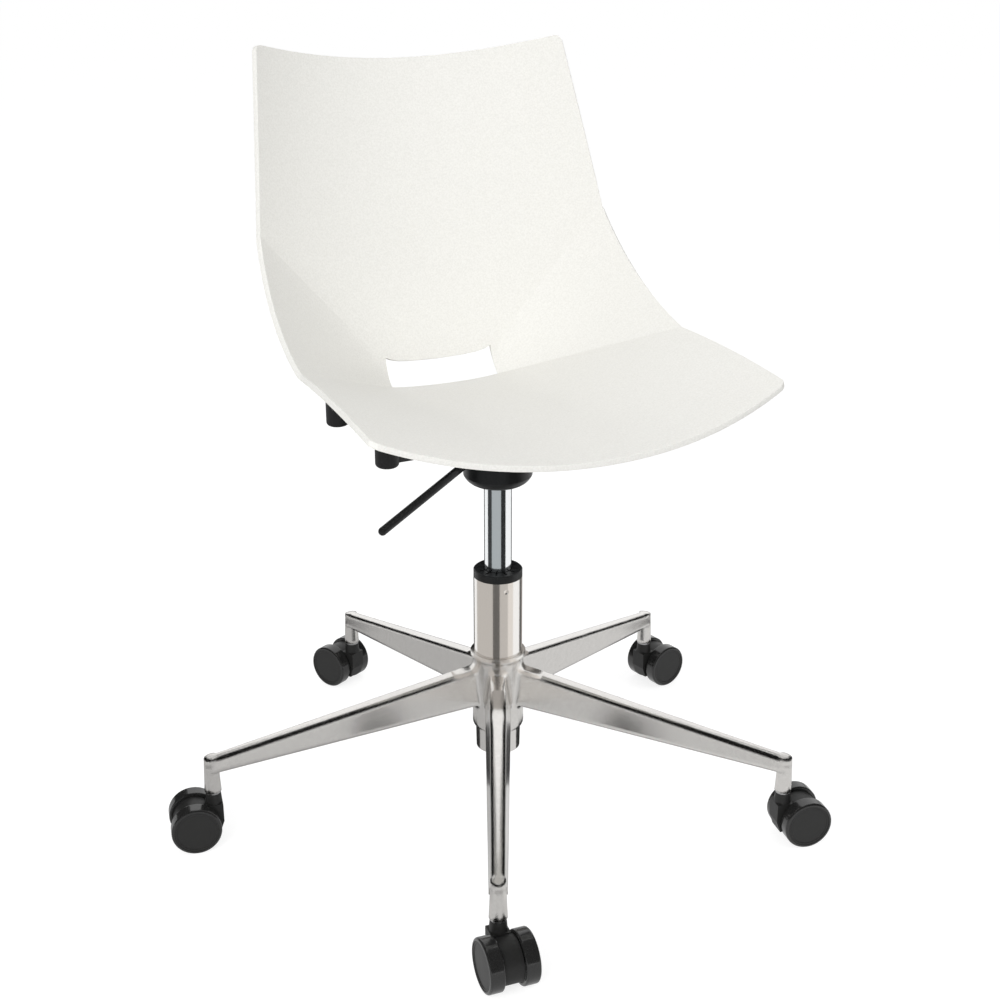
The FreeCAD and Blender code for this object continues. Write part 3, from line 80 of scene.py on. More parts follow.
class EffectGroup:
    """A shader node group with named inputs and outputs, built once and shared by several finishes."""

    def __init__(self, name: str) -> None:
        """Start an empty group.

        Args:
            name: name of the group.
        """
        self.tree = bpy.data.node_groups.new(name, "ShaderNodeTree")
        self.start = self.tree.nodes.new("NodeGroupInput")
        self.end = self.tree.nodes.new("NodeGroupOutput")
        self.coords = self.tree.nodes.new("ShaderNodeTexCoord")

    def take(self, name: str, kind: Socket, value: float | Colour) -> None:
        """Add an input.

        Args:
            name: name of the input.
            kind: its kind of socket.
            value: its value where a material sets none.
        """
        socket = self.tree.interface.new_socket(name=name, in_out="INPUT", socket_type=kind.value)
        socket.default_value = value if kind is Socket.NUMBER else (*value, 1.0)

    def give(self, name: str, kind: Socket, source: bpy.types.NodeSocket) -> None:
        """Add an output.

        Args:
            name: name of the output.
            kind: its kind of socket.
            source: the socket that feeds it.
        """
        self.tree.interface.new_socket(name=name, in_out="OUTPUT", socket_type=kind.value)
        self.tree.links.new(source, self.end.inputs[name])

    def noise(self, scale: str, detail: float, rough: float) -> bpy.types.NodeSocket:
        """Add a noise over the object's own coordinates.

        Args:
            scale: name of the input that sets its scale.
            detail: octaves of the noise.
            rough: weight of the finer octaves.

        Returns:
            The noise's value.
        """
        node = self.tree.nodes.new("ShaderNodeTexNoise")
        node.inputs["Detail"].default_value = detail
        node.inputs["Roughness"].default_value = rough
        self.tree.links.new(self.coords.outputs["Object"], node.inputs["Vector"])
        self.tree.links.new(self.start.outputs[scale], node.inputs["Scale"])
        return node.outputs["Fac"]

    def stretch(self, source: bpy.types.NodeSocket, span: Span) -> bpy.types.Node:
        """Map a span of a mask to the range from 0 to 1.

        Args:
            source: the mask.
            span: the values that become 0 and 1.

        Returns:
            The node, whose ends can be linked to other values.
        """
        node = self.tree.nodes.new("ShaderNodeMapRange")
        node.inputs["From Min"].default_value = span[0]
        node.inputs["From Max"].default_value = span[1]
        self.tree.links.new(source, node.inputs["Value"])
        return node

    def spread(self, source: bpy.types.NodeSocket, low: str, high: str) -> bpy.types.NodeSocket:
        """Map a mask's middle to the range between two inputs.

        Args:
            source: the mask.
            low: name of the input for the lower end.
            high: name of the input for the upper end.

        Returns:
            The mapped value.
        """
        node = self.stretch(source, PATCH_RANGE)
        self.tree.links.new(self.start.outputs[low], node.inputs["To Min"])
        self.tree.links.new(self.start.outputs[high], node.inputs["To Max"])
        return node.outputs["Result"]

    def mix(self, mask: bpy.types.NodeSocket, first: str, second: str) -> bpy.types.NodeSocket:
        """Mix two colour inputs by a mask.

        Args:
            mask: share of the second colour.
            first: name of the first colour input.
            second: name of the second colour input.

        Returns:
            The mixed colour.
        """
        node = self.tree.nodes.new("ShaderNodeMix")
        node.data_type = "RGBA"
        self.tree.links.new(mask, node.inputs[MIX_SHARE])
        self.tree.links.new(self.start.outputs[first], node.inputs[MIX_FIRST])
        self.tree.links.new(self.start.outputs[second], node.inputs[MIX_SECOND])
        return node.outputs[MIX_RESULT]


class Effects:
    """The effects that more than one finish uses."""

    def __init__(self) -> None:
        """Build every group once."""
        self.grain = self.build_grain()
        self.handling = self.build_handling()

    def build_grain(self) -> bpy.types.NodeTree:
        """Build the fine grain of a moulded or painted skin.

        Returns:
            The group: a height for bump and a colour that varies from grain to grain.
        """
        group = EffectGroup("moulded_grain")
        group.take("Scale", Socket.NUMBER, 900.0)
        group.take("Low", Socket.COLOUR, (0.5, 0.5, 0.5))
        group.take("High", Socket.COLOUR, (0.6, 0.6, 0.6))
        grain = group.noise("Scale", detail=3.0, rough=0.6)
        speckle = group.stretch(grain, SPECKLE_RANGE)
        group.give("Height", Socket.NUMBER, grain)
        group.give("Colour", Socket.COLOUR, group.mix(speckle.outputs["Result"], "Low", "High"))
        return group.tree

    def build_handling(self) -> bpy.types.NodeTree:
        """Build the soft patches that touch and cleaning leave in a gloss.

        Returns:
            The group: a roughness between two values.
        """
        group = EffectGroup("handling_patches")
        group.take("Scale", Socket.NUMBER, 14.0)
        group.take("Smooth", Socket.NUMBER, 0.1)
        group.take("Dull", Socket.NUMBER, 0.2)
        patches = group.noise("Scale", detail=5.0, rough=0.55)
        group.give("Roughness", Socket.NUMBER, group.spread(patches, "Smooth", "Dull"))
        return group.tree


@dataclass(frozen=True)
class Finish:
    """A surface finish: a metal or a moulded skin with grain and handling patches."""

    name: str
    low: Colour
    high: Colour
    smooth: float
    dull: float
    metallic: float = 0.0
    grain_scale: float = 900.0
    grain_height: float = 0.0
    patch_scale: float = 14.0
    coat: float = 0.0
    specular: float = 0.5
    edge_round: float = 0.0

    def material(self, effects: Effects) -> bpy.types.Material:
        """Make the finish's material.

        Args:
            effects: the shared effects.

        Returns:
            The material.
        """
        material = bpy.data.materials.new(self.name)
        material.use_nodes = True
        tree = material.node_tree
        shader = tree.nodes["Principled BSDF"]
        shader.inputs["Metallic"].default_value = self.metallic
        shader.inputs["Specular IOR Level"].default_value = self.specular
        shader.inputs["Coat Weight"].default_value = self.coat
        grain = self.place(tree, effects.grain, {
            "Scale": self.grain_scale, "Low": (*self.low, 1.0), "High": (*self.high, 1.0)})
        tree.links.new(grain.outputs["Colour"], shader.inputs["Base Color"])
        handling = self.place(tree, effects.handling, {
            "Scale": self.patch_scale, "Smooth": self.smooth, "Dull": self.dull})
        tree.links.new(handling.outputs["Roughness"], shader.inputs["Roughness"])
        normal = self.normal(tree, grain)
        if normal is not None:
            tree.links.new(normal, shader.inputs["Normal"])
        return material

    def place(self, tree: bpy.types.NodeTree, effect: bpy.types.NodeTree,
              values: dict[str, float | tuple[float, ...]]) -> bpy.types.Node:
        """Place a shared effect in the material.

        Args:
            tree: the material's nodes.
            effect: the effect's group.
            values: value by input.

        Returns:
            The group's node.
        """
        node = tree.nodes.new("ShaderNodeGroup")
        node.node_tree = effect
        for name, value in values.items():
            node.inputs[name].default_value = value
        return node

    def normal(self, tree: bpy.types.NodeTree, grain: bpy.types.Node) -> bpy.types.NodeSocket | None:
        """Round the edges and raise the grain in the shading, where the finish has them.

        Args:
            tree: the material's nodes.
            grain: the node of the grain.

        Returns:
            The normal, or nothing for a smooth finish.
        """
        normal = None
        if self.edge_round > 0.0:
            soft = tree.nodes.new("ShaderNodeBevel")
            soft.samples = BEVEL_SAMPLES
            soft.inputs["Radius"].default_value = self.edge_round
            normal = soft.outputs["Normal"]
        if self.grain_height > 0.0:
            bump = tree.nodes.new("ShaderNodeBump")
            bump.inputs["Strength"].default_value = 1.0
            bump.inputs["Distance"].default_value = self.grain_height
            tree.links.new(grain.outputs["Height"], bump.inputs["Height"])
            if normal is not None:
                tree.links.new(normal, bump.inputs["Normal"])
            normal = bump.outputs["Normal"]
        return normal


WHITE_SHELL = Finish("grained_white", (0.853, 0.845, 0.806), (0.927, 0.919, 0.882), 0.42, 0.55,
                     grain_scale=560.0, grain_height=0.00014, specular=0.4)
POLISHED_ALUMINIUM = Finish("polished_aluminium", (0.80, 0.78, 0.755), (0.84, 0.82, 0.795), 0.16, 0.24,
                            metallic=1.0, grain_scale=260.0, grain_height=0.00001, edge_round=0.006)
CHROME = Finish("tube_chrome", (0.85, 0.83, 0.805), (0.88, 0.86, 0.835), 0.13, 0.18, metallic=1.0)
LIFT_CHROME = Finish("lift_chrome", (0.86, 0.875, 0.885), (0.89, 0.905, 0.915), 0.1, 0.14, metallic=1.0)
PLAIN_STEEL = Finish("plain_steel", (0.46, 0.46, 0.465), (0.52, 0.52, 0.525), 0.3, 0.4, metallic=1.0)
TURNED_ALUMINIUM = Finish("turned_aluminium", (0.58, 0.58, 0.585), (0.63, 0.63, 0.635), 0.28, 0.36,
                          metallic=1.0)
BRASS = Finish("turned_brass", (0.62, 0.46, 0.2), (0.7, 0.53, 0.26), 0.24, 0.34, metallic=1.0)
BLACK_PAINT = Finish("satin_black_paint", (0.009, 0.009, 0.0095), (0.013, 0.013, 0.0135), 0.34, 0.46,
                     grain_scale=700.0, grain_height=0.00006, specular=0.26)
BLACK_PLASTIC = Finish("satin_black_plastic", (0.01, 0.0105, 0.011), (0.015, 0.0155, 0.016), 0.36, 0.48,
                       grain_scale=1200.0, grain_height=0.00005, specular=0.28)
HOOD_PLASTIC = Finish("caster_hood_black", (0.017, 0.017, 0.0165), (0.024, 0.024, 0.0235), 0.36, 0.48,
                      grain_scale=1400.0, grain_height=0.00006, specular=0.34)
WHEEL_PLASTIC = Finish("caster_disc_black", (0.02, 0.02, 0.0195), (0.026, 0.026, 0.0255), 0.3, 0.42,
                       grain_scale=1400.0, grain_height=0.00004, specular=0.36)
TREAD_PLASTIC = Finish("caster_tread_black", (0.015, 0.015, 0.0148), (0.021, 0.021, 0.0207), 0.15, 0.24,
                       coat=0.4)
BLACK_RUBBER = Finish("matte_black_rubber", (0.018, 0.018, 0.018), (0.03, 0.03, 0.03), 0.6, 0.75,
                      grain_scale=900.0, grain_height=0.0001, specular=0.3)


class FinishRack:
    """The finishes' materials, each made on first use."""

    def __init__(self) -> None:
        """Start with the shared effects and no material."""
        self.effects = Effects()
        self.made: dict[str, bpy.types.Material] = {}

    def material(self, finish: Finish) -> bpy.types.Material:
        """Find a finish's material, or make it on first use.

        Args:
            finish: the finish.

        Returns:
            Its material.
        """
        if finish.name not in self.made:
            self.made[finish.name] = finish.material(self.effects)
        return self.made[finish.name]


@dataclass
class Assembly:
    """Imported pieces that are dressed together."""

    title: str
    dress_code: dict[str, Finish]
    rack: FinishRack

    def dress(self) -> None:
        """Give every piece its finish and smooth shading."""
        for node, finish in self.dress_code.items():
            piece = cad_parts[node]
            piece.data.materials.clear()
            piece.data.materials.append(self.rack.material(finish))
            self.smooth(piece)
            LOG.info("%s: %s in %s", self.title, node, finish.name)

    def smooth(self, piece: bpy.types.Object) -> None:
        """Shade a piece smoothly between its true edges."""
        piece.data.shade_smooth()
        piece.data.set_sharp_from_angle(angle=SMOOTH_ANGLE)


def seat_pieces() -> dict[str, Finish]:
    """List the pieces that rise and turn with the seat.

    Returns:
        Finish by piece.
    """
    return {
        "seat_shell": WHITE_SHELL, "seat_spider": BLACK_PAINT, "seat_pads": BLACK_RUBBER,
        "seat_screws": PLAIN_STEEL, "thread_inserts": BRASS, "lever_rod": BLACK_PAINT,
        "lever_sleeve": BLACK_PLASTIC, "lever_pivot_pin": PLAIN_STEEL,
    }


def lift_pieces() -> dict[str, Finish]:
    """List the pieces of the gas lift.

    Returns:
        Finish by piece.
    """
    return {
        "column_tube": CHROME, "gas_cylinder": LIFT_CHROME, "guide_bush": BLACK_PLASTIC,
        "tube_end_plate": PLAIN_STEEL, "lower_race": PLAIN_STEEL, "upper_race": PLAIN_STEEL,
        "ball_cage": BLACK_PLASTIC, "bearing_balls": CHROME, "piston_rod": CHROME,
        "piston_head": TURNED_ALUMINIUM, "piston_seal": BLACK_RUBBER, "rod_guide": TURNED_ALUMINIUM,
        "rod_seal": BLACK_RUBBER, "rod_buffer": BLACK_RUBBER, "rod_washer": PLAIN_STEEL,
        "rod_clip": PLAIN_STEEL, "valve_plug": BRASS, "valve_pin": TURNED_ALUMINIUM,
    }


def base_pieces() -> dict[str, Finish]:
    """List the pieces of the star base and its casters.

    Returns:
        Finish by piece.
    """
    pieces = {"star_base": POLISHED_ALUMINIUM, "caster_stems": PLAIN_STEEL, "stem_grip_rings": PLAIN_STEEL}
    for corner in Corner:
        name = f"caster_{corner.value}"
        pieces[f"{name}_housing"] = HOOD_PLASTIC
        pieces[f"{name}_axle"] = PLAIN_STEEL
        for side in ("a", "b"):
            pieces[f"{name}_wheel_{side}"] = WHEEL_PLASTIC
            pieces[f"{name}_tread_{side}"] = TREAD_PLASTIC
    return pieces


def spaced(first: float, last: float, count: int) -> list[float]:
    """List evenly spaced shares after a first one.

    Args:
        first: the share before the list.
        last: the last share of the list.
        count: how many shares.

    Returns:
        The shares.
    """
    return [first + (last - first) * i / count for i in range(1, count + 1)]


def soft_ramp(run: float, blend: float) -> float:
    """Tell the height of a ramp that is flat before 0 and rises 1 in 1 after it, with a blended corner.

    Args:
        run: distance along the ramp, below 0 before its start.
        blend: height of the ramp at its start.

    Returns:
        The height.
    """
    return (run + math.hypot(run, 2.0 * blend)) / 2.0


def arch(share: float) -> float:
    """Tell the height of an arch that is 1 high in the middle of its span."""
    return 4.0 * share * (1.0 - share)


@dataclass(frozen=True)
class RowPlan:
    """Rows of points along a stretch of the shell: close at its start and end, even between."""

    start: tuple[float, ...]
    even_end: float
    even_rows: int
    end: tuple[float, ...]

    def shares(self) -> list[float]:
        """List the rows as shares of the stretch."""
        return [*self.start, *spaced(self.start[-1], self.even_end, self.even_rows), *self.end]


@dataclass(frozen=True)
class BossRing:
    """A ring of a boss's outline: its radius, and its lift over the boss's face or its end in the wall."""

    radius: float
    lift: float
    in_wall: bool = False


@dataclass
class SeatShell:
    """The white shell as one fine mesh, in millimetres: back, side facets and seat, the slot left open."""

    rack: FinishRack
    half_width: float = 202.0
    rim_height: float = 491.0
    side_taper: float = 37.0 / 272.0
    side_sweep: float = 9.0
    top_half_width: float = 165.0
    top_corner: float = 763.0
    top_dip: float = 22.0
    top_round: float = 6.0
    back_height: float = 450.0
    back_depth: float = 150.0
    back_slope: float = 0.333
    back_hollow: float = 1.23e-3
    back_twist: float = 2.76e-6
    fold_start: float = 60.0
    fold_blend: float = 8.0
    upper_fold: tuple[float, float] = (441.4, 1.149)
    lower_fold_depth: tuple[float, float] = (137.3, 1.0415)
    lower_fold_height: tuple[float, float] = (419.4, 0.509)
    facet_bulge: float = 0.1025
    front_edge: float = -220.0
    front_sweep: float = 30.0
    front_height: float = 446.0
    front_round: float = 9.0
    dish: float = 32.0
    seat_arch: float = 4.0
    slot_dip: float = 9.0
    wall: float = 5.5
    rim_round: float = 1.7
    rim_segments: int = 3
    rim_angle: float = 58.0
    slot_columns: int = 10
    slot_margins: tuple[float, float] = (0.006, 0.014)
    outer_end: float = 0.955
    outer_columns: int = 22
    rim_columns: tuple[float, ...] = (0.968, 0.978, 0.987, 0.994, 1.0)
    back_rows: RowPlan = RowPlan((0.0, 0.004, 0.01, 0.02), 0.955, 28, (0.972, 0.986, 0.995))
    facet_rows: RowPlan = RowPlan((0.0, 0.02, 0.05, 0.09), 0.91, 10, (0.95, 0.98))
    seat_rows: RowPlan = RowPlan((0.0, 0.005, 0.014, 0.028), 0.98, 34, (0.99, 0.996, 1.0))
    settling_rounds: int = 8
    halvings: int = 24
    boss_places: tuple[float, float] = (142.0, 67.0)
    boss_radius: float = 10.5
    boss_hole: float = 4.6
    boss_face: float = 448.0
    boss_chamfer: float = 0.6
    boss_round: float = 1.0
    boss_bend: float = 0.3
    boss_foot: tuple[Span, ...] = ((0.1, -3.0), (0.9, -1.0), (2.6, 0.0))
    boss_reach: float = 0.6
    boss_steps: int = 40

    def growth(self, x: float) -> float:
        """Tell how far the folds have run at x."""
        return soft_ramp(abs(x) - self.fold_start, self.fold_blend)

    def width_at(self, z: float) -> float:
        """Tell the shell's half width at a height."""
        return self.half_width - self.side_taper * soft_ramp(z - self.rim_height, self.side_sweep)

    def corner_drop(self, x: float, half: float, radius: float) -> float:
        """Tell how far a rounded corner falls away at x.

        Args:
            x: distance from the middle.
            half: half the width at that edge.
            radius: radius of the corner.

        Returns:
            The drop, 0 away from the corner.
        """
        over = min(max(abs(x) - half + radius, 0.0), radius)
        return radius - math.sqrt(radius * radius - over * over)

    def top_at(self, x: float) -> float:
        """Tell the height of the top edge at x.

        Args:
            x: distance from the middle.

        Returns:
            The height.
        """
        share = x / self.top_half_width
        dip = self.top_dip * (1.0 - share * share)
        return self.top_corner - dip - self.corner_drop(x, self.top_half_width, self.top_round)

    def back_at(self, x: float, z: float) -> float:
        """Tell the depth of the back's sitting face.

        Args:
            x: distance from the middle.
            z: the height.

        Returns:
            The depth.
        """
        height = z - self.back_height
        hollow = self.back_hollow + self.back_twist * height
        return self.back_depth + self.back_slope * height - hollow * x * x

    def upper_at(self, x: float) -> ProfilePoint:
        """Find the upper fold at x, as depth and height."""
        z = self.upper_fold[0] + self.upper_fold[1] * self.growth(x)
        return self.back_at(x, z), z

    def lower_at(self, x: float) -> ProfilePoint:
        """Find the lower fold at x.

        Args:
            x: distance from the middle.

        Returns:
            Its depth and height.
        """
        run = self.growth(x)
        return (self.lower_fold_depth[0] - self.lower_fold_depth[1] * run,
                self.lower_fold_height[0] + self.lower_fold_height[1] * run)

    def back_point(self, x: float, share: float) -> ProfilePoint:
        """Find a point of the back, from its top edge (0) to the upper fold (1).

        Args:
            x: distance from the middle.
            share: share of the way along the stretch.

        Returns:
            The point's depth and height.
        """
        _, low = self.upper_at(x)
        z = self.top_at(x) + (low - self.top_at(x)) * share
        return self.back_at(x, z), z

    def facet_point(self, x: float, share: float) -> ProfilePoint:
        """Find a point of the fold's facet, from the upper fold (0) to the lower fold (1).

        Args:
            x: distance from the middle.
            share: share of the way along the stretch.

        Returns:
            The point's depth and height.
        """
        first, last = self.upper_at(x), self.lower_at(x)
        dy, dz = last[0] - first[0], last[1] - first[1]
        lift = arch(share) * self.facet_bulge
        return first[0] + dy * share - dz * lift, first[1] + dz * share + dy * lift

    def seat_point(self, x: float, share: float) -> ProfilePoint:
        """Find a point of the seat, from the lower fold (0) to the front edge (1).

        Args:
            x: distance from the middle.
            share: share of the way along the stretch.

        Returns:
            The point's depth and height.
        """
        fold = self.lower_at(x)[0]
        across = x / self.half_width
        edge = self.front_edge + self.front_sweep * across * across
        edge += self.corner_drop(x, self.half_width, self.front_round)
        inner = min(abs(x) / self.fold_start, 1.0)
        start = self.slot_dip * (1.0 - inner * inner)
        run = (start + (fold - edge - start) * share) / (fold - self.front_edge)
        return fold + (self.front_edge - fold) * run, self.seat_height(x, run)

    def seat_height(self, x: float, run: float) -> float:
        """Tell the height of the seat on the way from the lower fold (0) to the middle's front edge (1).

        Args:
            x: distance from the middle.
            run: share of the way.

        Returns:
            The height of the sitting face.
        """
        across = x / self.half_width
        first = self.lower_at(x)[1]
        last = self.front_height + self.dish * across * across
        return first + (last - first) * run + arch(run) * self.seat_arch

    def columns(self) -> list[float]:
        """Lay out the mesh's columns as shares of the half width, one of them on the slot's side.

        Returns:
            The shares from left to right.
        """
        slot = self.fold_start / self.half_width
        right = [0.0, *spaced(0.0, slot, self.slot_columns)]
        right += [slot + margin for margin in self.slot_margins]
        right += spaced(right[-1], self.outer_end, self.outer_columns) + list(self.rim_columns)
        return [-share for share in reversed(right[1:])] + right

    def rows(self) -> list[tuple[Stretch, float]]:
        """Lay out the mesh's rows from the top edge to the front edge, close together at the folds.

        Returns:
            The stretch of the profile and the share along it, row by row.
        """
        plans = ((self.back_point, self.back_rows), (self.facet_point, self.facet_rows),
                 (self.seat_point, self.seat_rows))
        return [(stretch, share) for stretch, plan in plans for share in plan.shares()]

    def place(self, column: float, stretch: Stretch, share: float) -> Vector:
        """Find one point of the sitting face.

        Args:
            column: share of the half width.
            stretch: the stretch of the profile.
            share: share along that stretch.

        Returns:
            The point in metres.
        """
        x = column * self.half_width
        y, z = stretch(x, share)
        for _ in range(self.settling_rounds):
            x = column * self.width_at(z)
            y, z = stretch(x, share)
        return Vector((x, y, z)) * MM

    def build(self) -> None:
        """Build the shell and the bosses under it."""
        columns, rows = self.columns(), self.rows()
        points = [self.place(column, *row) for row in rows for column in columns]
        faces = self.faces(columns, rows)
        mesh = bpy.data.meshes.new("white_seat_shell")
        mesh.from_pydata(points, [], faces)
        shell = self.link(mesh)
        self.drop_loose(mesh, {index for face in faces for index in face})
        self.thicken(shell)
        self.finish(shell)
        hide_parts("seat_shell")
        self.bosses()

    def faces(self, columns: list[float], rows: list[tuple[Stretch, float]]) -> list[tuple[int, ...]]:
        """Join the points of the sitting face, with the slot left open.

        Args:
            columns: the columns as shares of the half width.
            rows: the stretch of the profile and the share along it, row by row.

        Returns:
            The faces as numbers of points.
        """
        wide = len(columns)
        slot = self.fold_start / self.half_width + TOUCH
        faces = []
        for j in range(len(rows) - 1):
            in_facet = rows[j][0] == self.facet_point
            for i in range(wide - 1):
                if in_facet and max(abs(columns[i]), abs(columns[i + 1])) <= slot:
                    continue
                start = j * wide + i
                faces.append((start, start + wide, start + wide + 1, start + 1))
        return faces

    def thicken(self, shell: bpy.types.Object) -> None:
        """Give the sitting face its wall, and round the wall's edges.

        Args:
            shell: the sitting face.
        """
        skin = shell.modifiers.new("wall", "SOLIDIFY")
        skin.thickness = self.wall * MM
        skin.offset = -1.0
        skin.use_even_offset = False
        lip = shell.modifiers.new("lip", "BEVEL")
        lip.width = self.rim_round * MM
        lip.segments = self.rim_segments
        lip.limit_method = "ANGLE"
        lip.angle_limit = math.radians(self.rim_angle)

    def drop_loose(self, mesh: bpy.types.Mesh, used: set[int]) -> None:
        """Take out the points that the slot left without a face.

        Args:
            mesh: the shell's mesh.
            used: numbers of the points that have a face.
        """
        work = bmesh.new()
        work.from_mesh(mesh)
        work.verts.ensure_lookup_table()
        bmesh.ops.delete(work, geom=[v for v in work.verts if v.index not in used], context="VERTS")
        work.to_mesh(mesh)
        work.free()

    def facet_height(self, x: float, y: float) -> float:
        """Tell the height of the fold's facet over a place, by halving the stretch that holds it.

        Args:
            x: distance from the middle.
            y: depth.

        Returns:
            The height of the sitting face.
        """
        low, high = 0.0, 1.0
        for _ in range(self.halvings):
            share = (low + high) / 2.0
            if self.facet_point(x, share)[0] > y:
                low = share
            else:
                high = share
        return self.facet_point(x, high)[1]

    def sitting_height(self, x: float, y: float) -> float:
        """Tell the height of the sitting face over a place of the seat or of the facet behind it.

        Args:
            x: distance from the middle.
            y: depth.

        Returns:
            The height of the sitting face.
        """
        fold = self.lower_at(x)[0]
        if y > fold:
            return self.facet_height(x, y)
        return self.seat_height(x, (fold - y) / (fold - self.front_edge))

    def boss_outline(self) -> list[BossRing]:
        """List the rings of a boss, from its hole's end in the wall round its face to its foot.

        Returns:
            The rings.
        """
        hole, radius, chamfer, soft = self.boss_hole, self.boss_radius, self.boss_chamfer, self.boss_round
        bend = self.boss_bend * soft
        rings = [BossRing(hole, 0.0, in_wall=True), BossRing(hole, chamfer), BossRing(hole + chamfer, 0.0),
                 BossRing(radius - soft, 0.0), BossRing(radius - bend, bend), BossRing(radius, soft)]
        return rings + [BossRing(radius + spread, lift, in_wall=True) for spread, lift in self.boss_foot]

    def boss_point(self, middle: tuple[float, float], turn: float, ring: BossRing) -> Vector:
        """Find a point of a boss.

        Args:
            middle: the boss's place beside and behind the column.
            turn: turn about the boss in radians.
            ring: the ring of its outline.

        Returns:
            The point in metres.
        """
        x = middle[0] + ring.radius * math.cos(turn)
        y = middle[1] + ring.radius * math.sin(turn)
        end = self.sitting_height(x, y) - self.wall * self.boss_reach
        return Vector((x, y, (end if ring.in_wall else self.boss_face) + ring.lift)) * MM

    def bosses(self) -> None:
        """Turn the four bosses that take the seat's screws, up into the wall."""
        outline = self.boss_outline()
        tall, steps = len(outline), self.boss_steps
        points, faces = [], []
        for side_x, side_y in ((-1, -1), (-1, 1), (1, -1), (1, 1)):
            middle = (side_x * self.boss_places[0], side_y * self.boss_places[1])
            start = len(points)
            for k in range(steps):
                points += [self.boss_point(middle, math.tau * k / steps, ring) for ring in outline]
                here, there = start + k * tall, start + (k + 1) % steps * tall
                for m in range(tall):
                    up = (m + 1) % tall
                    faces.append((here + m, there + m, there + up, here + up))
        mesh = bpy.data.meshes.new("shell_bosses")
        mesh.from_pydata(points, [], faces)
        self.finish(self.link(mesh))

    def link(self, mesh: bpy.types.Mesh) -> bpy.types.Object:
        """Put a mesh into the scene.

        Args:
            mesh: the mesh.

        Returns:
            Its object.
        """
        piece = bpy.data.objects.new(mesh.name, mesh)
        bpy.context.scene.collection.objects.link(piece)
        return piece

    def finish(self, piece: bpy.types.Object) -> None:
        """Dress a piece in white and let it ride on the seat.

        Args:
            piece: the shell or its bosses.
        """
        piece.data.materials.append(self.rack.material(WHITE_SHELL))
        piece.data.shade_smooth()
        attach(piece, "seat")
        LOG.info("seat: %s", piece.name)


@dataclass(frozen=True)
class Lamp:
    """A square studio lamp: where it hangs, its side in metres and its power in watts."""

    name: str
    place: Place
    side: float
    power: float


@dataclass(frozen=True)
class FloorFlag:
    """A dark card on the floor that only reflections see: part of a ring about the column."""

    name: str
    radii: Span
    turns: Span
    shade: float


@dataclass(frozen=True)
class ColumnCard:
    """A card bent round the column that only reflections see, with a grey inside and its own outside."""

    name: str
    turns: Span
    heights: Span
    shade: float
    outside: float
    tint: Colour = (1.0, 0.95, 0.9)
    radius: float = 0.05


@dataclass(frozen=True)
class RoomFlag:
    """A large dark card bent round part of the room that only reflections see."""

    name: str
    turns: Span
    rises: Span
    shade: float = 0.01


LAMPS = (
    Lamp("key_lamp", (-2.1, -1.7, 1.7), 1.5, 47.0),
    Lamp("fill_lamp", (1.9, -1.5, 1.6), 1.8, 14.0),
    Lamp("back_lamp", (0.6, 2.0, 2.2), 1.8, 9.0),
)
FLOOR_FLAGS = (
    FloorFlag("base_left_flag", (0.0, 1.50), (25.0, 180.0), 0.49),
    FloorFlag("base_front_flag", (0.0, 1.50), (-25.0, 25.0), 0.6),
    FloorFlag("base_right_flag", (0.0, 1.50), (-180.0, -25.0), 0.7),
    FloorFlag("foot_left_flag", (0.05, 0.17), (104.0, 180.0), 0.03),
    FloorFlag("foot_right_flag", (0.05, 0.17), (-180.0, -104.0), 0.03),
    FloorFlag("back_left_flag", (0.52, 2.60), (126.0, 152.0), 0.05),
    FloorFlag("back_right_flag", (0.52, 2.60), (-152.0, -126.0), 0.05),
)
ROOM_FLAGS = (
    RoomFlag("high_flag", (-122.0, 122.0), (3.0, 80.0)),
    RoomFlag("left_band", (122.0, 146.0), (0.0, 52.0)),
    RoomFlag("right_band", (-146.0, -122.0), (0.0, 52.0)),
)
NEUTRAL = (1.0, 1.0, 1.0)
COOL = (0.92, 0.98, 1.0)
TUBE_HEIGHTS = (0.148, 0.2445)
LIFT_HEIGHTS = (0.2445, 0.388)
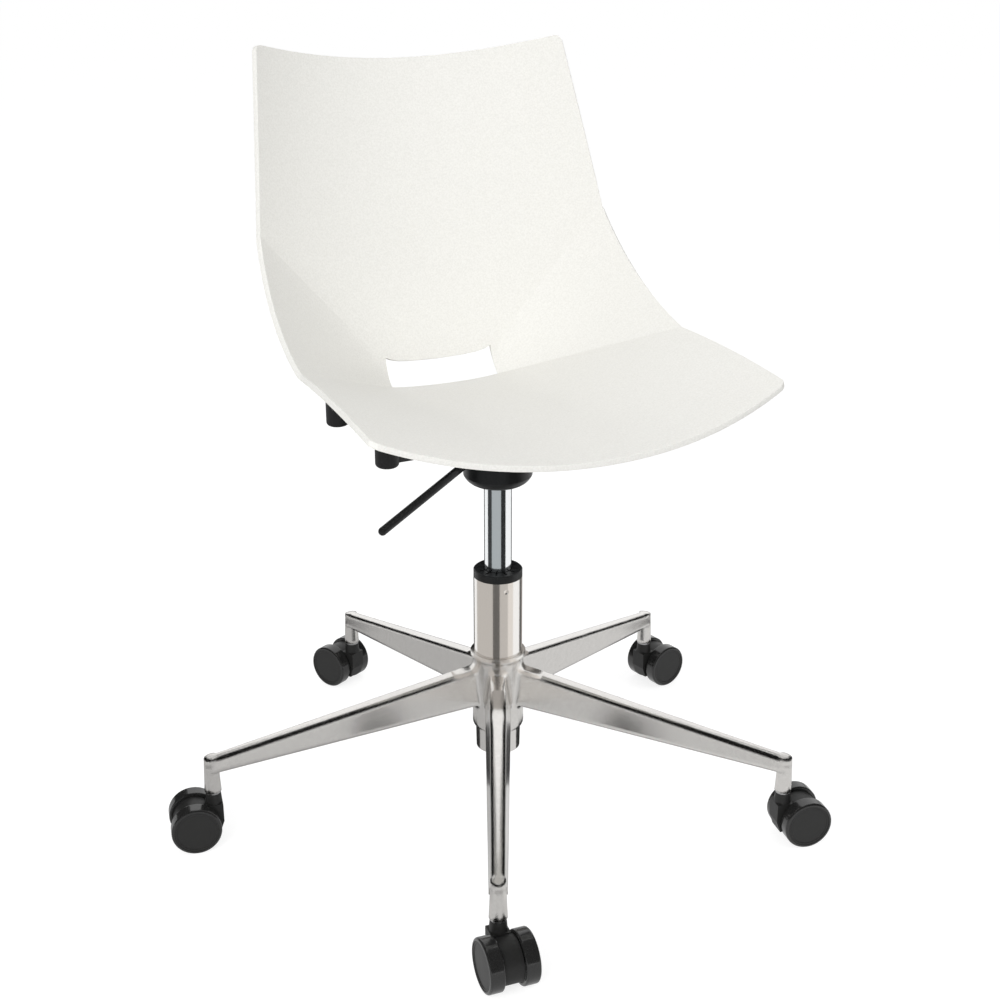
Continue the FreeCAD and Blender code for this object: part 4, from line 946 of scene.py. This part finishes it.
# Glowing cards round the column: their greys paint the bands and glints reflected in the tube and the gas
# lift, and the ridge card the front arm's ridge
COLUMN_CARDS = (
    ColumnCard("tube_left_edge", (119.0, 180.0), TUBE_HEIGHTS, 0.03, 0.02),
    ColumnCard("tube_left_glint", (92.0, 119.0), TUBE_HEIGHTS, 1.0, 0.02, NEUTRAL),
    ColumnCard("tube_left_grey", (18.0, 92.0), TUBE_HEIGHTS, 0.56, 0.3),
    ColumnCard("tube_stripe", (-6.0, 18.0), TUBE_HEIGHTS, 0.14, 0.4),
    ColumnCard("tube_right_grey", (-36.0, -6.0), TUBE_HEIGHTS, 0.56, 0.3),
    ColumnCard("tube_right_pale", (-58.0, -36.0), TUBE_HEIGHTS, 0.82, 0.02),
    ColumnCard("tube_right_glint", (-96.0, -58.0), TUBE_HEIGHTS, 1.0, 0.02, NEUTRAL),
    ColumnCard("tube_right_edge", (-118.0, -96.0), TUBE_HEIGHTS, 0.12, 0.02),
    ColumnCard("tube_right_back", (-180.0, -118.0), TUBE_HEIGHTS, 0.4, 0.02),
    ColumnCard("lift_left_edge", (125.0, 180.0), LIFT_HEIGHTS, 0.06, 0.02, COOL),
    ColumnCard("lift_left_glint", (80.0, 125.0), LIFT_HEIGHTS, 1.0, 0.02, NEUTRAL),
    ColumnCard("lift_left_dark", (45.0, 80.0), LIFT_HEIGHTS, 0.05, 0.02, COOL),
    ColumnCard("lift_grey", (-22.0, 45.0), LIFT_HEIGHTS, 0.46, 0.02, COOL),
    ColumnCard("lift_right_dark", (-58.0, -22.0), LIFT_HEIGHTS, 0.02, 0.02, COOL),
    ColumnCard("lift_right_glint", (-125.0, -58.0), LIFT_HEIGHTS, 1.0, 0.02, NEUTRAL),
    ColumnCard("lift_right_edge", (-180.0, -125.0), LIFT_HEIGHTS, 0.06, 0.02, COOL),
    ColumnCard("ridge_card", (-30.0, 30.0), (0.155, 0.42), 0.4, 1.0, NEUTRAL, 0.07),
)


@dataclass
class Studio:
    """Pale floor, soft lamps, white surround, dark cards for the metal and the photograph's viewpoint."""

    floor_half: float = 30.0
    camera_place: Place = (-0.600, -1.280, 0.874)
    camera_turn: tuple[float, float, float] = (69.07, 0.0, -25.2)
    lens: float = 54.55
    sensor: float = 36.0
    surround: float = 0.55
    floor_colour: float = 0.62
    floor_roughness: float = 0.9
    floor_seen: float = 0.36
    aim: Place = (0.0, 0.0, 0.45)
    room_radius: float = 2.8
    room_steps: tuple[int, int] = (24, 8)
    flag_steps: int = 48
    flag_lifts: Span = (0.001, 0.002)
    card_steps: int = 16

    def build(self) -> None:
        """Set up everything that isn't part of the chair."""
        self.floor()
        self.world()
        for lamp in LAMPS:
            self.hang(lamp)
        for room_flag in ROOM_FLAGS:
            self.bend(room_flag)
        for floor_flag in FLOOR_FLAGS:
            self.lay(floor_flag)
        for card in COLUMN_CARDS:
            self.stand(card)
        self.camera()
        bpy.context.scene.view_settings.view_transform = "Standard"

    def seen_share(self, tree: bpy.types.NodeTree) -> bpy.types.NodeSocket:
        """Tell the rays that look at the stage from those that light the chair.

        Args:
            tree: the node tree to work in.

        Returns:
            A value of 1 for camera, mirror and glass rays, otherwise 0.
        """
        path = tree.nodes.new("ShaderNodeLightPath")
        value = path.outputs["Is Camera Ray"]
        for kind in ("Is Glossy Ray", "Is Transmission Ray"):
            either = tree.nodes.new("ShaderNodeMath")
            either.operation = "MAXIMUM"
            tree.links.new(value, either.inputs[0])
            tree.links.new(path.outputs[kind], either.inputs[1])
            value = either.outputs["Value"]
        return value

    def card(self, name: str, corners: list[Place], faces: list[tuple[int, ...]]) -> bpy.types.Object:
        """Put a stage piece into the scene.

        Args:
            name: its name.
            corners: its corners.
            faces: its faces as numbers of corners.

        Returns:
            The stage piece.
        """
        mesh = bpy.data.meshes.new(name)
        mesh.from_pydata(corners, [], faces)
        piece = bpy.data.objects.new(name, mesh)
        bpy.context.scene.collection.objects.link(piece)
        return piece

    def floor(self) -> None:
        """Lay the floor: white to the eye and in reflections, with the chair's shadow on it."""
        half = self.floor_half
        corners = [(-half, -half, 0.0), (half, -half, 0.0), (half, half, 0.0), (-half, half, 0.0)]
        piece = self.card("studio_floor", corners, [(0, 1, 2, 3)])
        material = bpy.data.materials.new("studio_floor")
        material.use_nodes = True
        tree = material.node_tree
        plain = tree.nodes["Principled BSDF"]
        plain.inputs["Base Color"].default_value = (self.floor_colour,) * 3 + (1.0,)
        plain.inputs["Roughness"].default_value = self.floor_roughness
        plain.inputs["Specular IOR Level"].default_value = 0.0
        shadowed = tree.nodes.new("ShaderNodeBsdfDiffuse")
        shadowed.inputs["Color"].default_value = (self.floor_seen,) * 3 + (1.0,)
        glow = tree.nodes.new("ShaderNodeEmission")
        glow.inputs["Strength"].default_value = 1.0 - self.floor_seen * self.surround
        seen = tree.nodes.new("ShaderNodeAddShader")
        tree.links.new(shadowed.outputs["BSDF"], seen.inputs[0])
        tree.links.new(glow.outputs["Emission"], seen.inputs[1])
        swap = tree.nodes.new("ShaderNodeMixShader")
        tree.links.new(self.seen_share(tree), swap.inputs["Fac"])
        tree.links.new(plain.outputs["BSDF"], swap.inputs[1])
        tree.links.new(seen.outputs["Shader"], swap.inputs[2])
        tree.links.new(swap.outputs["Shader"], tree.nodes["Material Output"].inputs["Surface"])
        piece.data.materials.append(material)

    def world(self) -> None:
        """Light the chair from all round, and show white behind it."""
        world = bpy.data.worlds.new("studio_surround")
        bpy.context.scene.world = world
        world.use_nodes = True
        tree = world.node_tree
        lit = tree.nodes["Background"]
        lit.inputs["Color"].default_value = (1.0, 1.0, 1.0, 1.0)
        lit.inputs["Strength"].default_value = self.surround
        seen = tree.nodes.new("ShaderNodeBackground")
        seen.inputs["Color"].default_value = (1.0, 1.0, 1.0, 1.0)
        seen.inputs["Strength"].default_value = 1.0
        swap = tree.nodes.new("ShaderNodeMixShader")
        tree.links.new(self.seen_share(tree), swap.inputs["Fac"])
        tree.links.new(lit.outputs["Background"], swap.inputs[1])
        tree.links.new(seen.outputs["Background"], swap.inputs[2])
        tree.links.new(swap.outputs["Shader"], tree.nodes["World Output"].inputs["Surface"])

    def hang(self, lamp: Lamp) -> None:
        """Hang a lamp, turned to the chair and left out of reflections.

        Args:
            lamp: the lamp.
        """
        light = bpy.data.lights.new(lamp.name, "AREA")
        light.shape = "SQUARE"
        light.size = lamp.side
        light.energy = lamp.power
        piece = bpy.data.objects.new(lamp.name, light)
        place = Vector(lamp.place)
        piece.location = place
        piece.rotation_euler = (Vector(self.aim) - place).to_track_quat("-Z", "Y").to_euler()
        piece.visible_glossy = False
        bpy.context.scene.collection.objects.link(piece)

    def glow_in_reflections(self, piece: bpy.types.Object, shade: float, back: float | None = None,
               tint: Colour = NEUTRAL) -> None:
        """Make a stage piece a glowing card that only reflections see: its grey is a painted reflection,
        dark or bright, in the metal.

        Args:
            piece: the card.
            shade: its grey value.
            back: the grey value of its back, where that differs.
            tint: the colour that its grey leans to.
        """
        material = bpy.data.materials.new(piece.name)
        material.use_nodes = True
        tree = material.node_tree
        # Both sides are emission, so the card glows with its grey: a painted reflection, not a lit surface
        sides = [tree.nodes.new("ShaderNodeEmission") for _ in range(2)]
        for side, grey in zip(sides, (shade, shade if back is None else back)):
            side.inputs["Color"].default_value = (*(grey * part for part in tint), 1.0)
        facing = tree.nodes.new("ShaderNodeNewGeometry")
        swap = tree.nodes.new("ShaderNodeMixShader")
        tree.links.new(facing.outputs["Backfacing"], swap.inputs["Fac"])
        tree.links.new(sides[0].outputs["Emission"], swap.inputs[1])
        tree.links.new(sides[1].outputs["Emission"], swap.inputs[2])
        tree.links.new(swap.outputs["Shader"], tree.nodes["Material Output"].inputs["Surface"])
        piece.data.materials.append(material)
        piece.visible_camera = False
        piece.visible_diffuse = False
        piece.visible_transmission = False
        piece.visible_shadow = False

    def toward_camera(self, turn: float, radius: float) -> tuple[float, float]:
        """Find a place on the floor by its turn from the camera's side of the column.

        Args:
            turn: degrees from the camera's direction, positive to the camera's left.
            radius: distance from the column.

        Returns:
            The place as x and y.
        """
        heading = math.atan2(self.camera_place[1], self.camera_place[0]) - math.radians(turn)
        return radius * math.cos(heading), radius * math.sin(heading)

    def turns(self, span: Span, steps: int) -> list[float]:
        """List the turns from one side of a card to the other."""
        return [span[0]] + spaced(*span, steps)

    def bend(self, flag: RoomFlag) -> None:
        """Bend a dark card round part of the room, for the lines along the arms.

        Args:
            flag: the card.
        """
        wide, tall = self.room_steps
        corners = []
        for rise in self.turns(flag.rises, tall):
            reach = self.room_radius * math.cos(math.radians(rise))
            height = self.room_radius * math.sin(math.radians(rise))
            turns = self.turns(flag.turns, wide)
            corners += [(*self.toward_camera(turn, reach), height) for turn in turns]
        row = wide + 1
        faces = [(j * row + i, j * row + i + 1, (j + 1) * row + i + 1, (j + 1) * row + i)
                 for j in range(tall) for i in range(wide)]
        self.glow_in_reflections(self.card(flag.name, corners, faces), flag.shade)

    def lay(self, flag: FloorFlag) -> None:
        """Lay a dark card on the floor for the metal's bands, the wide grey ones under the others.

        Args:
            flag: the card.
        """
        lift = self.flag_lifts[0] if flag.radii[0] == 0.0 else self.flag_lifts[1]
        corners = [(*self.toward_camera(turn, radius), lift)
                   for turn in self.turns(flag.turns, self.flag_steps) for radius in flag.radii]
        faces = [(2 * i, 2 * i + 1, 2 * i + 3, 2 * i + 2) for i in range(self.flag_steps)]
        self.glow_in_reflections(self.card(flag.name, corners, faces), flag.shade)

    def stand(self, card: ColumnCard) -> None:
        """Stand a card by the column, its inside toward the metal.

        Args:
            card: the card.
        """
        corners = [(*self.toward_camera(turn, card.radius), height)
                   for turn in self.turns(card.turns, self.card_steps) for height in card.heights]
        faces = [(2 * i, 2 * i + 2, 2 * i + 3, 2 * i + 1) for i in range(self.card_steps)]
        self.glow_in_reflections(self.card(card.name, corners, faces), card.shade, card.outside, card.tint)

    def camera(self) -> None:
        """Set the camera at the photograph's viewpoint."""
        data = bpy.data.cameras.new("photo_camera")
        data.lens = self.lens
        data.sensor_width = self.sensor
        camera = bpy.data.objects.new("photo_camera", data)
        camera.location = self.camera_place
        camera.rotation_euler = tuple(math.radians(angle) for angle in self.camera_turn)
        bpy.context.scene.collection.objects.link(camera)
        bpy.context.scene.camera = camera


def main() -> None:
    """Dress the chair and set up the studio."""
    logging.basicConfig(level=logging.INFO)
    rack = FinishRack()
    Assembly("seat", seat_pieces(), rack).dress()
    SeatShell(rack).build()
    Assembly("lift", lift_pieces(), rack).dress()
    Assembly("base", base_pieces(), rack).dress()
    Studio().build()


if __name__ == "__main__":
    main()
